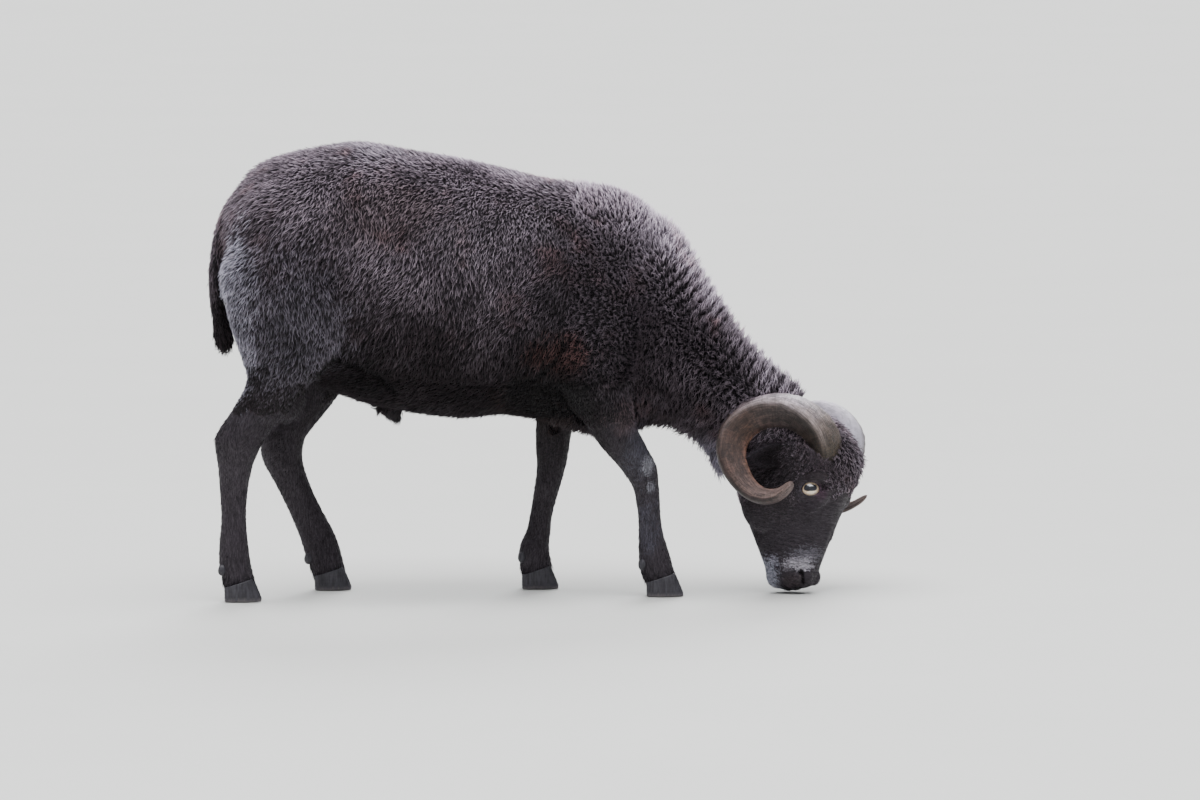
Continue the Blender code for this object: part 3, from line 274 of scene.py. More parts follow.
TAIL = stations(Dock, (
    (-3000, 4380, 90, 180), (-3180, 4230, 88, 170), (-3310, 4000, 82, 160), (-3390, 3710, 72, 140),
    (-3425, 3450, 68, 130), (-3410, 3180, 75, 135), (-3365, 2920, 90, 140), (-3340, 2760, 95, 130),
    (-3330, 2660, 50, 70),
))
# Grooves along both sides of the legs: lowest and highest z, place from back -1 to front 1, and depth
GROOVES = {
    "hindleg": ((0.050, 0.150, -0.30, 0.20), (0.175, 0.250, -0.45, 0.26)),
    "foreleg": ((0.050, 0.105, -0.25, 0.20), (0.125, 0.175, -0.30, 0.10)),
}
GROOVE_WIDTH = 0.28
# Where each foot stands
FEET = {
    "hindleg_right": Foot(-0.3350, -0.056),
    "hindleg_left": Foot(-0.2415, 0.056),
    "foreleg_right": Foot(0.1150, -0.046),
    "foreleg_left": Foot(-0.0185, 0.046),
}
# Scrotum and sheath, as x, z, half length, half width
SCROTUM = stations(Dock, (
    (-2620, 2620, 240, 240), (-2660, 2360, 190, 220), (-2690, 2140, 230, 280), (-2710, 1960, 190, 240),
    (-2720, 1860, 80, 100),
))
SHEATH = stations(Dock, (
    (-1650, 2160, 140, 140), (-1580, 2010, 115, 110), (-1520, 1920, 85, 75), (-1470, 1850, 50, 45),
))

# Hoof: each foot has two claws, whose heel, width and length come from the frame
CORONET_HEEL = 0.0150
CORONET_TOE = 0.0245
TOE_RAKE = 0.010
CLAW_LENGTH = 0.0400
CLAW_SIDES = 40
CLAW_LEVELS = 16
DEWCLAW_HEIGHT = 0.034
DEWCLAW_RADIUS = 0.0043
DEWCLAW_AHEAD = 0.0042
DEWCLAW_OUT = 0.0088

# Seam between neck and head: a point of its plane in x and z, and how far the plane leans, in degrees
HEAD_SEAM = (0.2120, 0.1890, 44)
# Where curlier wool starts on the shoulder: x at the height of the withers, and its lean forward below
SHOULDER_FROM = 0.048
SHOULDER_SLANT = 0.12
WITHERS_HEIGHT = 0.44
# How ragged the borders between kinds of wool are; how low on a leg its wool and then its short hair begin
RAGGED_BY = 0.006
LEG_BORDERS = {"hindleg": (0.330, 0.204), "foreleg": (0.232, 0.186)}
# How far from their middle lines the hair of sheath, tail and ears grows, and what is bare
SHEATH_REACH = 0.016
TAIL_REACH = 0.0175
EAR_REACH = 0.0150
BARE_ROUND_EYE = 0.0125
BARE_ROUND_NOSTRIL = 0.0036
# Behind this x and below this z all is hair of the legs; behind, below and within these lies the groin
LOW_LEGS = (0.165, 0.166)
GROIN = (-0.225, 0.265, 0.042)
SHEATH_BELOW = 0.199
TAIL_BEHIND = -0.30
HEAD_AHEAD = 0.17
EAR_OUTSIDE = 0.046
# Borders that shift: the value at which each does, where it lies above that value, and where below
HEAD_PAST_SEAM = (0.205, 0.040, 0.008)
CROWN_DOWN_TO = (0.048, -0.010, 0.004)
CROWN_OUT_TO = (0.010, 0.048, 0.037)
CROWN_BACK_TO = (0.040, -0.012, 0.022)
# Wool grows inside the horn's coil above the first, behind the second and outside the third
COIL_BORDER = (-0.021, 0.027, 0.012)
# The hollow behind the elbow, where the wool is shorter and darkened with painted shade: its middle in x and
# z, and its half sizes
HOLLOW = (0.018, 0.216, 0.052, 0.026)

# Creases of the hide seen from the side: its line, half width, and how much of the wool it takes away, which
# also sets how dark the painted shade in it is
Fold = namedtuple("Fold", "line width depth")
FOLDS = (
    Fold(((0.036, 0, 0.277), (0.024, 0, 0.261), (0.004, 0, 0.243), (-0.022, 0, 0.232)), 0.0060, 0.90),
    Fold(((-0.318, 0, 0.256), (-0.302, 0, 0.252), (-0.284, 0, 0.254)), 0.0036, 0.50),
    Fold(((-0.312, 0, 0.248), (-0.296, 0, 0.244), (-0.285, 0, 0.245)), 0.0032, 0.40),
    Fold(
        ((-0.232, 0, 0.246), (-0.216, 0, 0.262), (-0.190, 0, 0.256), (-0.163, 0, 0.242), (-0.144, 0, 0.222)),
        0.0055,
        0.80,
    ),
)
# The nape: where it starts, which way it runs, which way is out of it, and how far apart its rows are
NAPE_START = np.array((0.106, 0, 0.424))
NAPE_WAY = np.array((0.643, 0, -0.766))
NAPE_ACROSS = np.array((0.766, 0, 0.643))
ROW_SPACING = 0.0112
ROW_PULL = 0.0034
FACE_LINE_SPACING = 0.0046
# Cracks between clumps of wool, where the wisps are shorter and painted darker as shade, as a share of the
# clumps' spacing; the lowest that any hair reaches
CRACK_SHARE = 0.42
LOWEST_HAIR = 0.0003
# Size of a tuft's patch on the unwrapped skin
PATCH = 0.003
# Primes that make one key of the three whole numbers of a cell
CELL_PRIMES = np.array((73856093, 19349663, 83492791))

FLESH = (
    "torso", "neck", "head", "tail", "thigh_right", "thigh_left", "foreleg_right", "foreleg_left",
    "hindleg_right", "hindleg_left", "ear_right", "ear_left",
)
BODY = "root"

# Parts of the coat, each with its own kind of tuft
NOTHING, BARREL, NECK_WOOL, THIGH_WOOL, LEG_HAIR, FACE_HAIR = range(6)
CROWN_WOOL, COIL_WOOL, EAR_HAIR, TAIL_WOOL, SKIN_HAIR = range(6, 11)
HEAD_PARTS = (NOTHING, FACE_HAIR, COIL_WOOL, CROWN_WOOL, EAR_HAIR)
SHORT_PARTS = (NOTHING, LEG_HAIR, FACE_HAIR, EAR_HAIR, SKIN_HAIR)

# How a kind of tuft is made: spacing, length, half width at its root, how steeply it rises at its root
# and at its tip (0 lies flat, 1 stands), sideways wave, waves along it, how far neighbours lean together,
# and how many steps it bends in
Kind = namedtuple("Kind", "spacing length width rise droop wave waves gather steps")

# Roots of wisps: place, way the skin faces, lie, share of full length, tone with painted shade, and way to
# the clump's middle
Roots = namedtuple("Roots", "points normals lies length tone pull")

# How wool stands in clumps: their spacing, which way and how far they are drawn out, and how much they show
Clumps = namedtuple("Clumps", "spacing way squeeze strength")

# Soft patches of colour on the body or head, some of them painted highlights and some painted shade: middle,
# half sizes, the tips' colour, and how strong it is
MARKS = marks("body", (
    # The first two rows are painted light: a bluish-white highlight on the back of the thigh, and lighter
    # wool on the buttock
    (-3180, 720, 3120, 260, 360, 780, 850, 830, 1000, 900),
    (-2700, 950, 3000, 700, 600, 750, 240, 220, 270, 720),
    (-740, 1000, 3850, 350, 500, 300, 260, 230, 265, 450),
    (60, 900, 4050, 450, 600, 300, 270, 235, 275, 450),
    (-1500, 1000, 4200, 600, 500, 350, 200, 135, 130, 450), (700, 850, 3100, 700, 650, 900, 52, 42, 50, 800),
    (1600, 600, 2350, 750, 600, 700, 34, 25, 30, 750), (200, 900, 2620, 320, 400, 220, 130, 52, 42, 600),
    # Both rows are painted shade: near black in the hollow behind the elbow, and in the fold in front of the
    # thigh
    (180, 700, 2150, 540, 600, 280, 8, 5, 5, 950), (-1850, 750, 2220, 520, 600, 240, 10, 7, 8, 900),
    # The second row darkens the belly: partly its own dark wool, partly painted shade under the body
    (1850, 0, 1320, 300, 600, 300, 150, 160, 220, 550), (-600, 0, 1850, 2000, 1200, 600, 16, 11, 13, 900),
    (0, 600, 2050, 450, 600, 400, 24, 15, 13, 800), (980, 650, 1920, 220, 300, 180, 170, 115, 125, 600),
    # These rows to the end of the body's list are painted highlights: on the front of the foreleg, its knee
    # and cannon, and on the hock
    (1100, 600, 1550, 180, 300, 300, 110, 110, 145, 600),
    (1180, 620, 1400, 70, 140, 100, 480, 480, 540, 700), (1200, 600, 1180, 60, 120, 60, 400, 400, 460, 620),
    (1180, 480, 800, 120, 200, 350, 110, 110, 150, 550), (-3230, 600, 1840, 60, 120, 60, 280, 280, 320, 700),
)) + marks("head", (
    (175, -860, 185, 190, 70, 120, 850, 800, 900, 950), (240, -775, 150, 200, 90, 150, 300, 285, 340, 550),
    (-120, -830, 235, 55, 60, 60, 500, 480, 580, 850), (-220, -960, 130, 150, 170, 170, 600, 610, 740, 900),
    # The first row is painted shade: near black in the nostril's pit
    (168, -1000, 145, 32, 80, 60, 3, 2, 2, 970), (70, -1040, 170, 120, 75, 120, 90, 66, 74, 750),
    (130, -1015, 160, 50, 40, 50, 170, 140, 150, 750), (500, -110, 360, 85, 110, 85, 120, 55, 100, 800),
    (260, -120, 430, 60, 120, 90, 190, 170, 210, 600), (380, -260, 390, 160, 100, 140, 50, 36, 52, 600),
    # The first row is a painted glint: a small bright spot on each side of the forehead's front, for the far
    # eye's glint seen at its edge
    (618, -76, 154, 16, 30, 20, 600, 580, 640, 800), (100, 720, 0, 420, 220, 440, 400, 345, 410, 850),
    (500, 250, 200, 350, 350, 400, 50, 34, 37, 750), (-50, 50, 400, 380, 420, 220, 22, 14, 16, 800),
))
# Depth below the back, and below the nape, is the first number less x and z times the others
BACK_LINE = (0.455, 0.150, 1.000)
NAPE_LINE = (0.354, 0.766, 0.643)
# Between these depths the light tips of the back give way to dark ones: partly real sun-bleaching, partly
# painted top light above and painted shade below
BLEACHED_TO = 0.015
DARK_FROM = 0.235
# Painted highlight, pale and bluish, along the top of the back and the nape: the depths it spans, its
# strength and colour
FROST_FROM = 0.028
FROST_TO = -0.012
FROST_AMOUNT = 0.24
FROST = (0.780, 0.740, 0.860)
RUST_TINT = (1.0, 0.70, 0.62)
COAT_COLOURS = ("fleece_root", "fleece_tip", "bleached_tip", "hair_root", "hair_tip")

# The horn's colours from root to tip, and inside its coil: place, red, green and blue in thousandths
HORN_COLOURS = (
    (0, 24, 18, 13), (80, 50, 38, 29), (150, 150, 118, 106), (240, 350, 300, 330), (360, 290, 235, 262),
    (450, 120, 85, 80), (520, 52, 31, 27), (720, 30, 18, 16), (880, 45, 29, 28), (980, 160, 115, 106),
)
INNER_COLOURS = (
    (50, 16, 11, 8), (300, 24, 14, 11), (440, 50, 27, 20), (660, 66, 38, 31), (920, 150, 100, 88),
)
HORN_EDGE = (0.420, 0.225, 0.165)
# Painted sky light on the far horn
HORN_PALE = (0.640, 0.610, 0.720)
HORN_SPECKS = (0.230, 0.130, 0.060)
HORN_CRACKS = (0.022, 0.014, 0.012)
HORN_KEEL_WORN = (0.480, 0.390, 0.370)
HOOF_STREAKS = (0.060, 0.056, 0.068)
HOOF_WORN = (0.22, 0.20, 0.20)
IRIS_LIGHT = (0.92, 0.78, 0.60)
IRIS_RIM = (0.30, 0.17, 0.06)
EYE_WHITE = (0.030, 0.020, 0.022)
PUPIL = (0.004, 0.006, 0.012)

# Where one piece of wool ends and the next begins, along x
FLEECE_BANDS = (-1.0, -0.245, -0.155, -0.065, 0.015, 1.0)
NECK_BANDS = (-1.0, 0.105, 1.0)
WHOLE_BAND = (-1.0, 1.0)
RUFF_LIE = np.array((-0.50, 0, -0.86))
THROAT_FACING = np.array((-0.80, 0, -0.60))

# The stage: suns with the way up to them, strength, colour and spread; one strip light; and the camera
FLOOR_RADIUS = 60
FLOOR_DROP = 0.0006
SKY = (0.93, 0.94, 1.0)
SKY_STRENGTH = 0.24
SUNS = {
    "daylight": ((-0.05, -0.02, 1.0), 5.1, (0.99, 0.98, 1.0), 75),
    "rim_light": ((0.12, 0.86, 0.50), 2.6, (0.97, 0.98, 1.0), 30),
}
STRIP_PLACE = (0.3, -2.6, 4.1)
STRIP_SIZE = (4.5, 0.9)
STRIP_POWER = 60
STRIP_COLOUR = (0.92, 0.95, 1.0)
CAMERA_AIM = Vector((0.0675, 0, 0.206))
CAMERA_DISTANCE = 12.0
CAMERA_ELEVATION = math.radians(5)
CAMERA_ROLL = math.radians(-0.606)
FRAME_WIDTH = 1.284
SENSOR = 36.0

SIDES = (("right", 1), ("left", -1))
AHEAD, LEFTWARD, UPWARD = Vector((1, 0, 0)), Vector((0, 1, 0)), Vector((0, 0, 1))
made_once = functools.lru_cache(maxsize=1)


def clamped(value):
    """The value, kept between 0 and 1."""
    return min(1.0, max(0.0, value))


def powered(value, power):
    """The value's size to this power, with the value's own sign."""
    return math.copysign(abs(value) ** power, value)


def square_to(way, along):
    """The part of a direction that is square to another, one unit long."""
    return (way - along * way.dot(along)).normalized()


def head_directions():
    """The head's own forward (forehead), up (poll) and right directions."""
    brow = Vector((math.cos(HEAD_TURN), -math.sin(HEAD_TURN), 0))
    left = Vector((math.sin(HEAD_TURN), math.cos(HEAD_TURN), 0))
    nose = Vector((0, 0, -1))
    leaned_left = left * math.cos(HEAD_LEAN) + nose * math.sin(HEAD_LEAN)
    leaned_nose = nose * math.cos(HEAD_LEAN) - left * math.sin(HEAD_LEAN)
    pitched_nose = leaned_nose * math.cos(HEAD_PITCH) + brow * math.sin(HEAD_PITCH)
    pitched_brow = brow * math.cos(HEAD_PITCH) - leaned_nose * math.sin(HEAD_PITCH)
    return pitched_brow, -pitched_nose, -leaned_left


HEAD_FORWARD, HEAD_UP, HEAD_RIGHT = head_directions()
HEAD_AXES = [np.array(way) for way in head_directions()]


def head_direction(forward, up, out, side):
    """side is 1 for the right of the head and -1 for the left."""
    return HEAD_FORWARD * forward + HEAD_UP * up + HEAD_RIGHT * (out * side)


def head_point(forward, up, out, side=1):
    return HEAD_CENTRE + head_direction(forward, up, out, side)


def smooth_stations(stations, steps):
    """The stations with steps - 1 more between each two, on a Catmull-Rom curve through every field."""
    kind = type(stations[0])
    padded = (stations[0], *stations, stations[-1])
    found = []
    for before, start, end, after in zip(padded, padded[1:], padded[2:], padded[3:]):
        for step in range(steps):
            t = step / steps
            fields = []
            for a, b, c, d in zip(before, start, end, after):
                bend = (2 * a - 5 * b + 4 * c - d) * t + (3 * b - a - 3 * c + d) * t * t
                fields.append(0.5 * (2 * b + (c - a) * t + bend * t))
            found.append(kind(*fields))
    found.append(stations[-1])
    return found


def section(centre, across, up, half_width, rise, drop, sides, fullness=2.0):
    """Points of an egg-shaped section: rise above the centre and drop below it."""
    points = []
    for index in range(sides):
        turn = math.tau * index / sides
        x, y = math.sin(turn), math.cos(turn)
        x = powered(x, 2 / fullness) * half_width
        y = powered(y, 2 / fullness) * (rise if y > 0 else drop)
        points.append(centre + across * x + up * y)
    return points


def placed(name, data):
    """A new object of this data in the scene."""
    obj = bpy.data.objects.new(name, data)
    bpy.context.scene.collection.objects.link(obj)
    return obj


def mesh_object(name, form):
    """A new object of the bmesh, which is freed."""
    mesh = bpy.data.meshes.new(name)
    form.to_mesh(mesh)
    form.free()
    return placed(name, mesh)


def merged(name, pieces):
    """One object of all the pieces' meshes; the pieces are removed."""
    form = bmesh.new()
    for piece in pieces:
        form.from_mesh(piece.data)
        bpy.data.objects.remove(piece)
    return mesh_object(name, form)


def modified(obj, name, kind, **settings):
    """Gives the object a modifier with these settings."""
    modifier = obj.modifiers.new(name, kind)
    for key, value in settings.items():
        setattr(modifier, key, value)


def lofted(name, sections, closed=False):
    """A closed skin bridged through circles that are drawn out to the sections' points."""
    form = bmesh.new()
    rings = []
    for points in sections:
        made = bmesh.ops.create_circle(form, segments=len(points), radius=1)["verts"]
        for vert, point in zip(made, points):
            vert.co = point
        rings.append(list(dict.fromkeys(edge for vert in made for edge in vert.link_edges)))
    following = rings[1:] + rings[:1] if closed else rings[1:]
    for near, far in zip(rings, following):
        bmesh.ops.bridge_loops(form, edges=near + far)
    if not closed:
        bmesh.ops.holes_fill(form, edges=rings[0] + rings[-1])
    bmesh.ops.recalc_face_normals(form, faces=form.faces)
    return mesh_object(name, form)


def swept(name, points, radii, sides=12, closed=False):
    """A round bar through the points, with its own radius at each."""
    sections = []
    last = len(points) - 1
    for index, (point, radius) in enumerate(zip(points, radii)):
        before = points[index - 1] if closed or index else point
        after = points[(index + 1) % len(points)] if closed or index < last else point
        along = (after - before).normalized()
        across = along.cross(HEAD_CENTRE - HEAD_UP - point).normalized()
        sections.append(section(point, across, along.cross(across), radius, radius, radius, sides))
    return lofted(name, sections, closed)


def ellipsoid(name, centre, axes, sides=32, bands=20):
    """axes are three vectors, each as long as the half size that way."""
    form = bmesh.new()
    bmesh.ops.create_uvsphere(form, u_segments=sides, v_segments=bands, radius=1)
    # The operator's own order differs from run to run
    form.verts.sort(key=lambda vert: place_key(vert.co))
    form.faces.sort(key=lambda face: place_key(face.calc_center_median()))
    columns = Matrix(axes).transposed().to_4x4()
    bmesh.ops.transform(form, matrix=Matrix.Translation(centre) @ columns, verts=form.verts)
    bmesh.ops.recalc_face_normals(form, faces=form.faces)
    return mesh_object(name, form)


def place_key(point):
    """A number that orders points on a ball of radius 1 from its bottom to its top, and round each level."""
    return 10000 * round(point.z, 4) + math.atan2(round(point.y, 6) + 0.0, round(point.x, 6))


def applied(obj, name):
    """A plain mesh object of what obj shows with its modifiers; obj is then removed."""
    bpy.context.view_layer.update()
    graph = bpy.context.evaluated_depsgraph_get()
    mesh = bpy.data.meshes.new_from_object(obj.evaluated_get(graph))
    bpy.data.objects.remove(obj)
    mesh.name = name
    return placed(name, mesh)


def grown_together(name, pieces, grain, rounds):
    """The pieces blended into one smooth closed skin."""
    obj = merged(name, pieces)
    modified(obj, "grow_together", "REMESH", mode="VOXEL", voxel_size=grain)
    modified(obj, "soften", "SMOOTH", factor=0.5, iterations=rounds)
    return applied(obj, name)


def combined(obj, operation, others):
    """obj joined with or cut by the other objects, which are then removed."""
    name = obj.name
    helpers = bpy.data.collections.new(name + "_helpers")
    bpy.context.scene.collection.children.link(helpers)
    for other in others:
        bpy.context.scene.collection.objects.unlink(other)
        helpers.objects.link(other)
    operands = {"operand_type": "COLLECTION", "collection": helpers}
    modified(obj, "join", "BOOLEAN", solver="MANIFOLD", operation=operation, **operands)
    made = applied(obj, name)
    for other in list(helpers.objects):
        bpy.data.objects.remove(other)
    bpy.data.collections.remove(helpers)
    if not made.data.polygons:
        raise RuntimeError(f"{name}: {operation} left nothing")
    return made


def trunk_flesh():
    core = FLEECE_CORE["trunk"]
    sections = []
    for s in smooth_stations(TRUNK, 4):
        centre = Vector((s.x, 0, s.widest))
        rise, drop = s.top - s.widest - core, s.widest - s.bottom - core
        sections.append(section(centre, LEFTWARD, UPWARD, s.half_width - core, rise, drop, 56, 2.15))
    return lofted("trunk", sections)


def neck_flesh():
    core = FLEECE_CORE["neck"]
    sections = []
    for s in smooth_stations(NECK, 4):
        top, bottom = Vector((s.top_x, s.y, s.top_z)), Vector((s.bottom_x, s.y, s.bottom_z))
        half = (top - bottom).length / 2 - core
        up = (top - bottom).normalized()
        sections.append(section((top + bottom) / 2, LEFTWARD, up, s.half_width - core * 0.7, half, half, 48))
    return lofted("neck", sections)


def grooved(point, station, name):
    """The point drawn in where a groove runs between tendon and bone."""
    along = 2 * (point.x - station.back) / (station.front - station.back) - 1
    depth = 0
    for low, high, place, deepest in GROOVES[name.split("_")[0]]:
        inside = math.sin(math.pi * clamped((station.z - low) / (high - low))) ** 0.6
        depth += deepest * inside * math.exp(-(((along - place) / GROOVE_WIDTH) ** 2))
    return Vector((point.x, station.y + (point.y - station.y) * (1 - depth), point.z))


def limb_flesh(name, stations):
    """A leg from flat sections, drawn in by the hair's depth, and by the fleece's above stifle or elbow."""
    sections = []
    for s in smooth_stations(stations, 4):
        core = SHORT_HAIR_DEPTH + FLEECE_CORE["haunch"] * clamped((s.z - 0.20) / 0.05)
        centre = Vector(((s.back + s.front) / 2, s.y, s.z))
        half = (s.front - s.back) / 2 - core
        points = section(centre, LEFTWARD, AHEAD, s.half_width - core, half, half, 40)
        sections.append([grooved(point, s, name) for point in points])
    return lofted(name, sections)


def hanging_flesh(name, stations, inset):
    """A tail, sheath or purse: sections across a curve in the plane of symmetry."""
    dense = smooth_stations(stations, 4)
    sections = []
    for index, s in enumerate(dense):
        before = dense[max(0, index - 1)]
        after = dense[min(len(dense) - 1, index + 1)]
        along = Vector((after.x - before.x, 0, after.z - before.z)).normalized()
        thick = max(0.001, s.half_thickness - inset)
        wide = max(0.001, s.half_width - inset)
        up = along.cross(LEFTWARD)
        sections.append(section(Vector((s.x, 0, s.z)), LEFTWARD, up, wide, thick, thick, 24))
    return lofted(name, sections)


def skull_flesh():
    sections = []
    for s in smooth_stations(SKULL, 5):
        middle = s.front * 0.42 + s.back * 0.58
        inset = SHORT_HAIR_DEPTH * 0.7
        rise, drop = s.front - middle - inset, middle - s.back - inset
        centre = head_point(middle, s.up, 0)
        sections.append(section(centre, HEAD_RIGHT, HEAD_FORWARD, s.half_width - inset, rise, drop, 64, 2.1))
    return lofted("skull", sections)


def ear_flesh(side):
    """A leaf with a rounded tip, hollowed on its face, which looks towards the nose."""
    root, tip = head_point(*EAR_ROOT, side), head_point(*EAR_TIP, side)
    along = (tip - root).normalized()
    face = square_to(head_direction(*EAR_FACE, side), along)
    across = along.cross(face)
    length = (tip - root).length
    sections = []
    for index in range(EAR_RINGS + 1):
        share = index / EAR_RINGS
        width = EAR_HALF_WIDTH * (0.62 + 0.38 * math.sin(math.pi * min(1, share / 0.9)))
        width *= math.sqrt(max(0.02, 1 - max(0, share - 0.35) ** 2 / 0.4225))
        cup = EAR_CUP * (0.25 + 0.75 * math.sin(math.pi * min(1, share * 1.1)))
        wall = EAR_WALL * (1.5 - 0.9 * share)
        middle = root + along * (length * share)
        points = []
        for way in (1, -1):
            for step in range(EAR_STEPS + 1):
                reach = way * (-1 + 2 * step / EAR_STEPS)
                depth = cup * (1 - reach * reach) + way * wall / 2
                points.append(middle + across * (reach * width) - face * depth)
        sections.append(points)
    return lofted("ear", sections)


def eye_directions(side):
    look = head_direction(*EYE_LOOK, side).normalized()
    long_way = square_to(HEAD_FORWARD, look)
    return look, long_way, look.cross(long_way)


def eye_centre(side):
    look, _, _ = eye_directions(side)
    return head_point(*EYE_PLACE, side) - look * EYE_RADIUS


def eyeball(name, side, radius=EYE_RADIUS):
    look, long_way, high_way = eye_directions(side)
    axes = (long_way * radius, high_way * radius, look * radius)
    return ellipsoid(name, eye_centre(side), axes, 48, 32)


def almond(side, grow, reach):
    """Points round the opening of the lids, grow larger all round, reach in front of the eye's centre."""
    look, long_way, high_way = eye_directions(side)
    points = []
    for index in range(LID_POINTS):
        turn = math.tau * index / LID_POINTS
        x = (EYE_HALF_LENGTH + grow) * math.cos(turn)
        y = (EYE_HALF_HEIGHT + grow) * powered(math.sin(turn), 1.25)
        points.append(eye_centre(side) + long_way * x + high_way * y + look * reach(x, y))
    return points


def lid_opening(side):
    """A short bar of almond section, which opens the lids along the look of the eye."""
    near = almond(side, 0, lambda x, y: EYE_RADIUS * 0.5)
    far = almond(side, 0, lambda x, y: EYE_RADIUS * 1.6)
    return lofted("lid_opening", [near, far])


def lid_rims(side):
    """The thick edge of both lids, and the folds of skin above and below them."""
    _, long_way, high_way = eye_directions(side)
    centre = eye_centre(side)

    def on_ball(lift):
        return lambda x, y: math.sqrt(max(0, (EYE_RADIUS + lift) ** 2 - x * x - y * y))

    edge = almond(side, LID_RIM * 0.45, on_ball(LID_RIM * 0.55))
    rims = [swept("lid_rim", edge, [LID_RIM] * len(edge), 10, closed=True)]
    for grow, lift, radius, way in LID_FOLDS:
        whole = almond(side, grow, on_ball(lift))
        arc = [point for point in whole if (point - centre).dot(high_way) * way > FOLD_CLEARANCE]
        arc.sort(key=lambda point: (point - centre).dot(long_way))
        last = len(arc) - 1
        radii = [radius * math.sin(math.pi * (0.12 + 0.76 * index / last)) for index in range(len(arc))]
        rims.append(swept("lid_fold", arc, radii, 8))
    return rims


def orbit(side):
    look, long_way, high_way = eye_directions(side)
    centre = head_point(*EYE_PLACE, side) - look * (ORBIT_RADIUS * 0.92)
    axes = (long_way * ORBIT_RADIUS * 1.05, high_way * ORBIT_RADIUS, look * ORBIT_RADIUS * 0.92)
    return ellipsoid("orbit", centre, axes)


def on_face(head, places, side, depth):
    """The places moved to the head's surface, and then in by the depth."""
    tree = BVHTree.FromObject(head, bpy.context.evaluated_depsgraph_get())
    points = []
    for place in places:
        point, normal, _, _ = tree.find_nearest(head_point(*place, side))
        points.append(point - normal * depth)
    return points


def curve_through(points, steps):
    """More points between the given ones, on a smooth curve."""
    spot = namedtuple("Spot", "x y z")
    return [Vector(s) for s in smooth_stations([spot(*p) for p in points], steps)]


def nostril(head, side):
    """A comma-shaped pit, its head up and out and its tail down and in."""
    points = curve_through(on_face(head, NOSTRIL, side, NOSTRIL_DEPTH), 4)
    knots = np.linspace(0, 1, len(NOSTRIL_RADII))
    radii = np.interp(np.linspace(0, 1, len(points)), knots, NOSTRIL_RADII)
    return swept("nostril", points, [float(r) for r in radii], 16)


def mouth_line(head, depth):
    """From one corner of the mouth round the front to the other."""
    points = on_face(head, MOUTH, 1, depth)
    points += reversed(on_face(head, MOUTH[:-1], -1, depth))
    return curve_through(points, 4)


def lips(side):
    """Soft swellings above and below the line of the mouth."""
    bars = []
    for forward, up, inward in LIPS:
        places = [head_point(f + forward, u + up, max(0, o - inward), side) for f, u, o in MOUTH]
        points = curve_through(places, 3)
        bars.append(swept("lip", points, [LIP_RADIUS] * len(points), 12))
    return bars


def head_flesh():
    """The head with its relief, ears, lids, nostrils and mouth."""
    pieces = [skull_flesh()]
    for side in (1, -1):
        pieces += [orbit(side), eyeball("lids", side, EYE_RADIUS + LID_THICKNESS), *lips(side)]
        for name, (middle, size) in HEAD_RELIEF.items():
            axes = [way * half for way, half in zip((HEAD_FORWARD, HEAD_UP, HEAD_RIGHT), size)]
            pieces.append(ellipsoid(name, head_point(*middle, side), axes))
    head = grown_together("head", pieces, HEAD_GRAIN, HEAD_SMOOTHING)
    head = combined(head, "UNION", [ear_flesh(1), ear_flesh(-1)])
    line = mouth_line(head, MOUTH_DEPTH)
    last = len(line) - 1
    taper = [MOUTH_RADIUS * min(1, 0.35 + 6 * min(i, last - i) / len(line)) for i in range(len(line))]
    cutters = [swept("mouth", line, taper, 10)]
    for side in (1, -1):
        cutters += [eyeball("socket", side, EYE_RADIUS + SOCKET_GAP), lid_opening(side), nostril(head, side)]
    head = combined(head, "DIFFERENCE", cutters)
    return combined(head, "UNION", lid_rims(1) + lid_rims(-1))


def coronet_height(x, heel):
    """How high the hair's edge lies above the sole, at x on a foot with this heel."""
    share = (x - heel) / (CLAW_LENGTH - TOE_RAKE)
    return CORONET_HEEL + (CORONET_TOE - CORONET_HEEL) * share


def coronet_block(foot):
    """A box under the slanted plane where the hair ends and the claws begin."""
    form = bmesh.new()
    bmesh.ops.create_cube(form, size=1)
    for vert in form.verts:
        x = foot.heel + CLAW_LENGTH * (0.5 + 2 * vert.co.x)
        top = coronet_height(x, foot.heel) - 0.0002
        vert.co = (x, foot.y + vert.co.y * CLAW_LENGTH * 1.5, top if vert.co.z > 0 else -CLAW_LENGTH)
    return mesh_object("coronet", form)


def past_seam(points):
    """How far each point lies on the nose side of the seam between neck and head."""
    lean = math.radians(HEAD_SEAM[2])
    return (points[:, 0] - HEAD_SEAM[0]) * math.cos(lean) - (points[:, 2] - HEAD_SEAM[1]) * math.sin(lean)


def head_places(points):
    """Each point's forward, up and right in the head's own directions."""
    local = points - np.array(HEAD_CENTRE)
    return tuple(local @ axis for axis in HEAD_AXES)


def line_distance(points, line):
    """Each point's distance from the polyline."""
    nearest = np.full(len(points), 1.0)
    for start, end in zip(line, line[1:]):
        start, way = np.array(start), np.array(end) - np.array(start)
        share = np.clip((points - start) @ way / (way @ way), 0, 1)
        gap = np.linalg.norm(points - start - share[:, None] * way, axis=1)
        nearest = np.minimum(nearest, gap)
    return nearest


def on_limb(points, name, margin):
    """Whether each point lies on the outside of this limb, seen from the side, or within the margin."""
    x, y, z = points.T
    stations = LIMBS[name][::-1]
    heights = [s.z for s in stations]
    back = np.interp(z, heights, [s.back for s in stations])
    front = np.interp(z, heights, [s.front for s in stations])
    inner = np.interp(z, heights, [abs(s.y) - s.half_width for s in stations])
    side = math.copysign(1, stations[0].y)
    return (x > back - margin) & (x < front + margin) & (y * side > inner + 0.002)


def shifted(border, values):
    """Where the border lies at each of the values."""
    at, above, below = border
    return np.where(values > at, above, below)


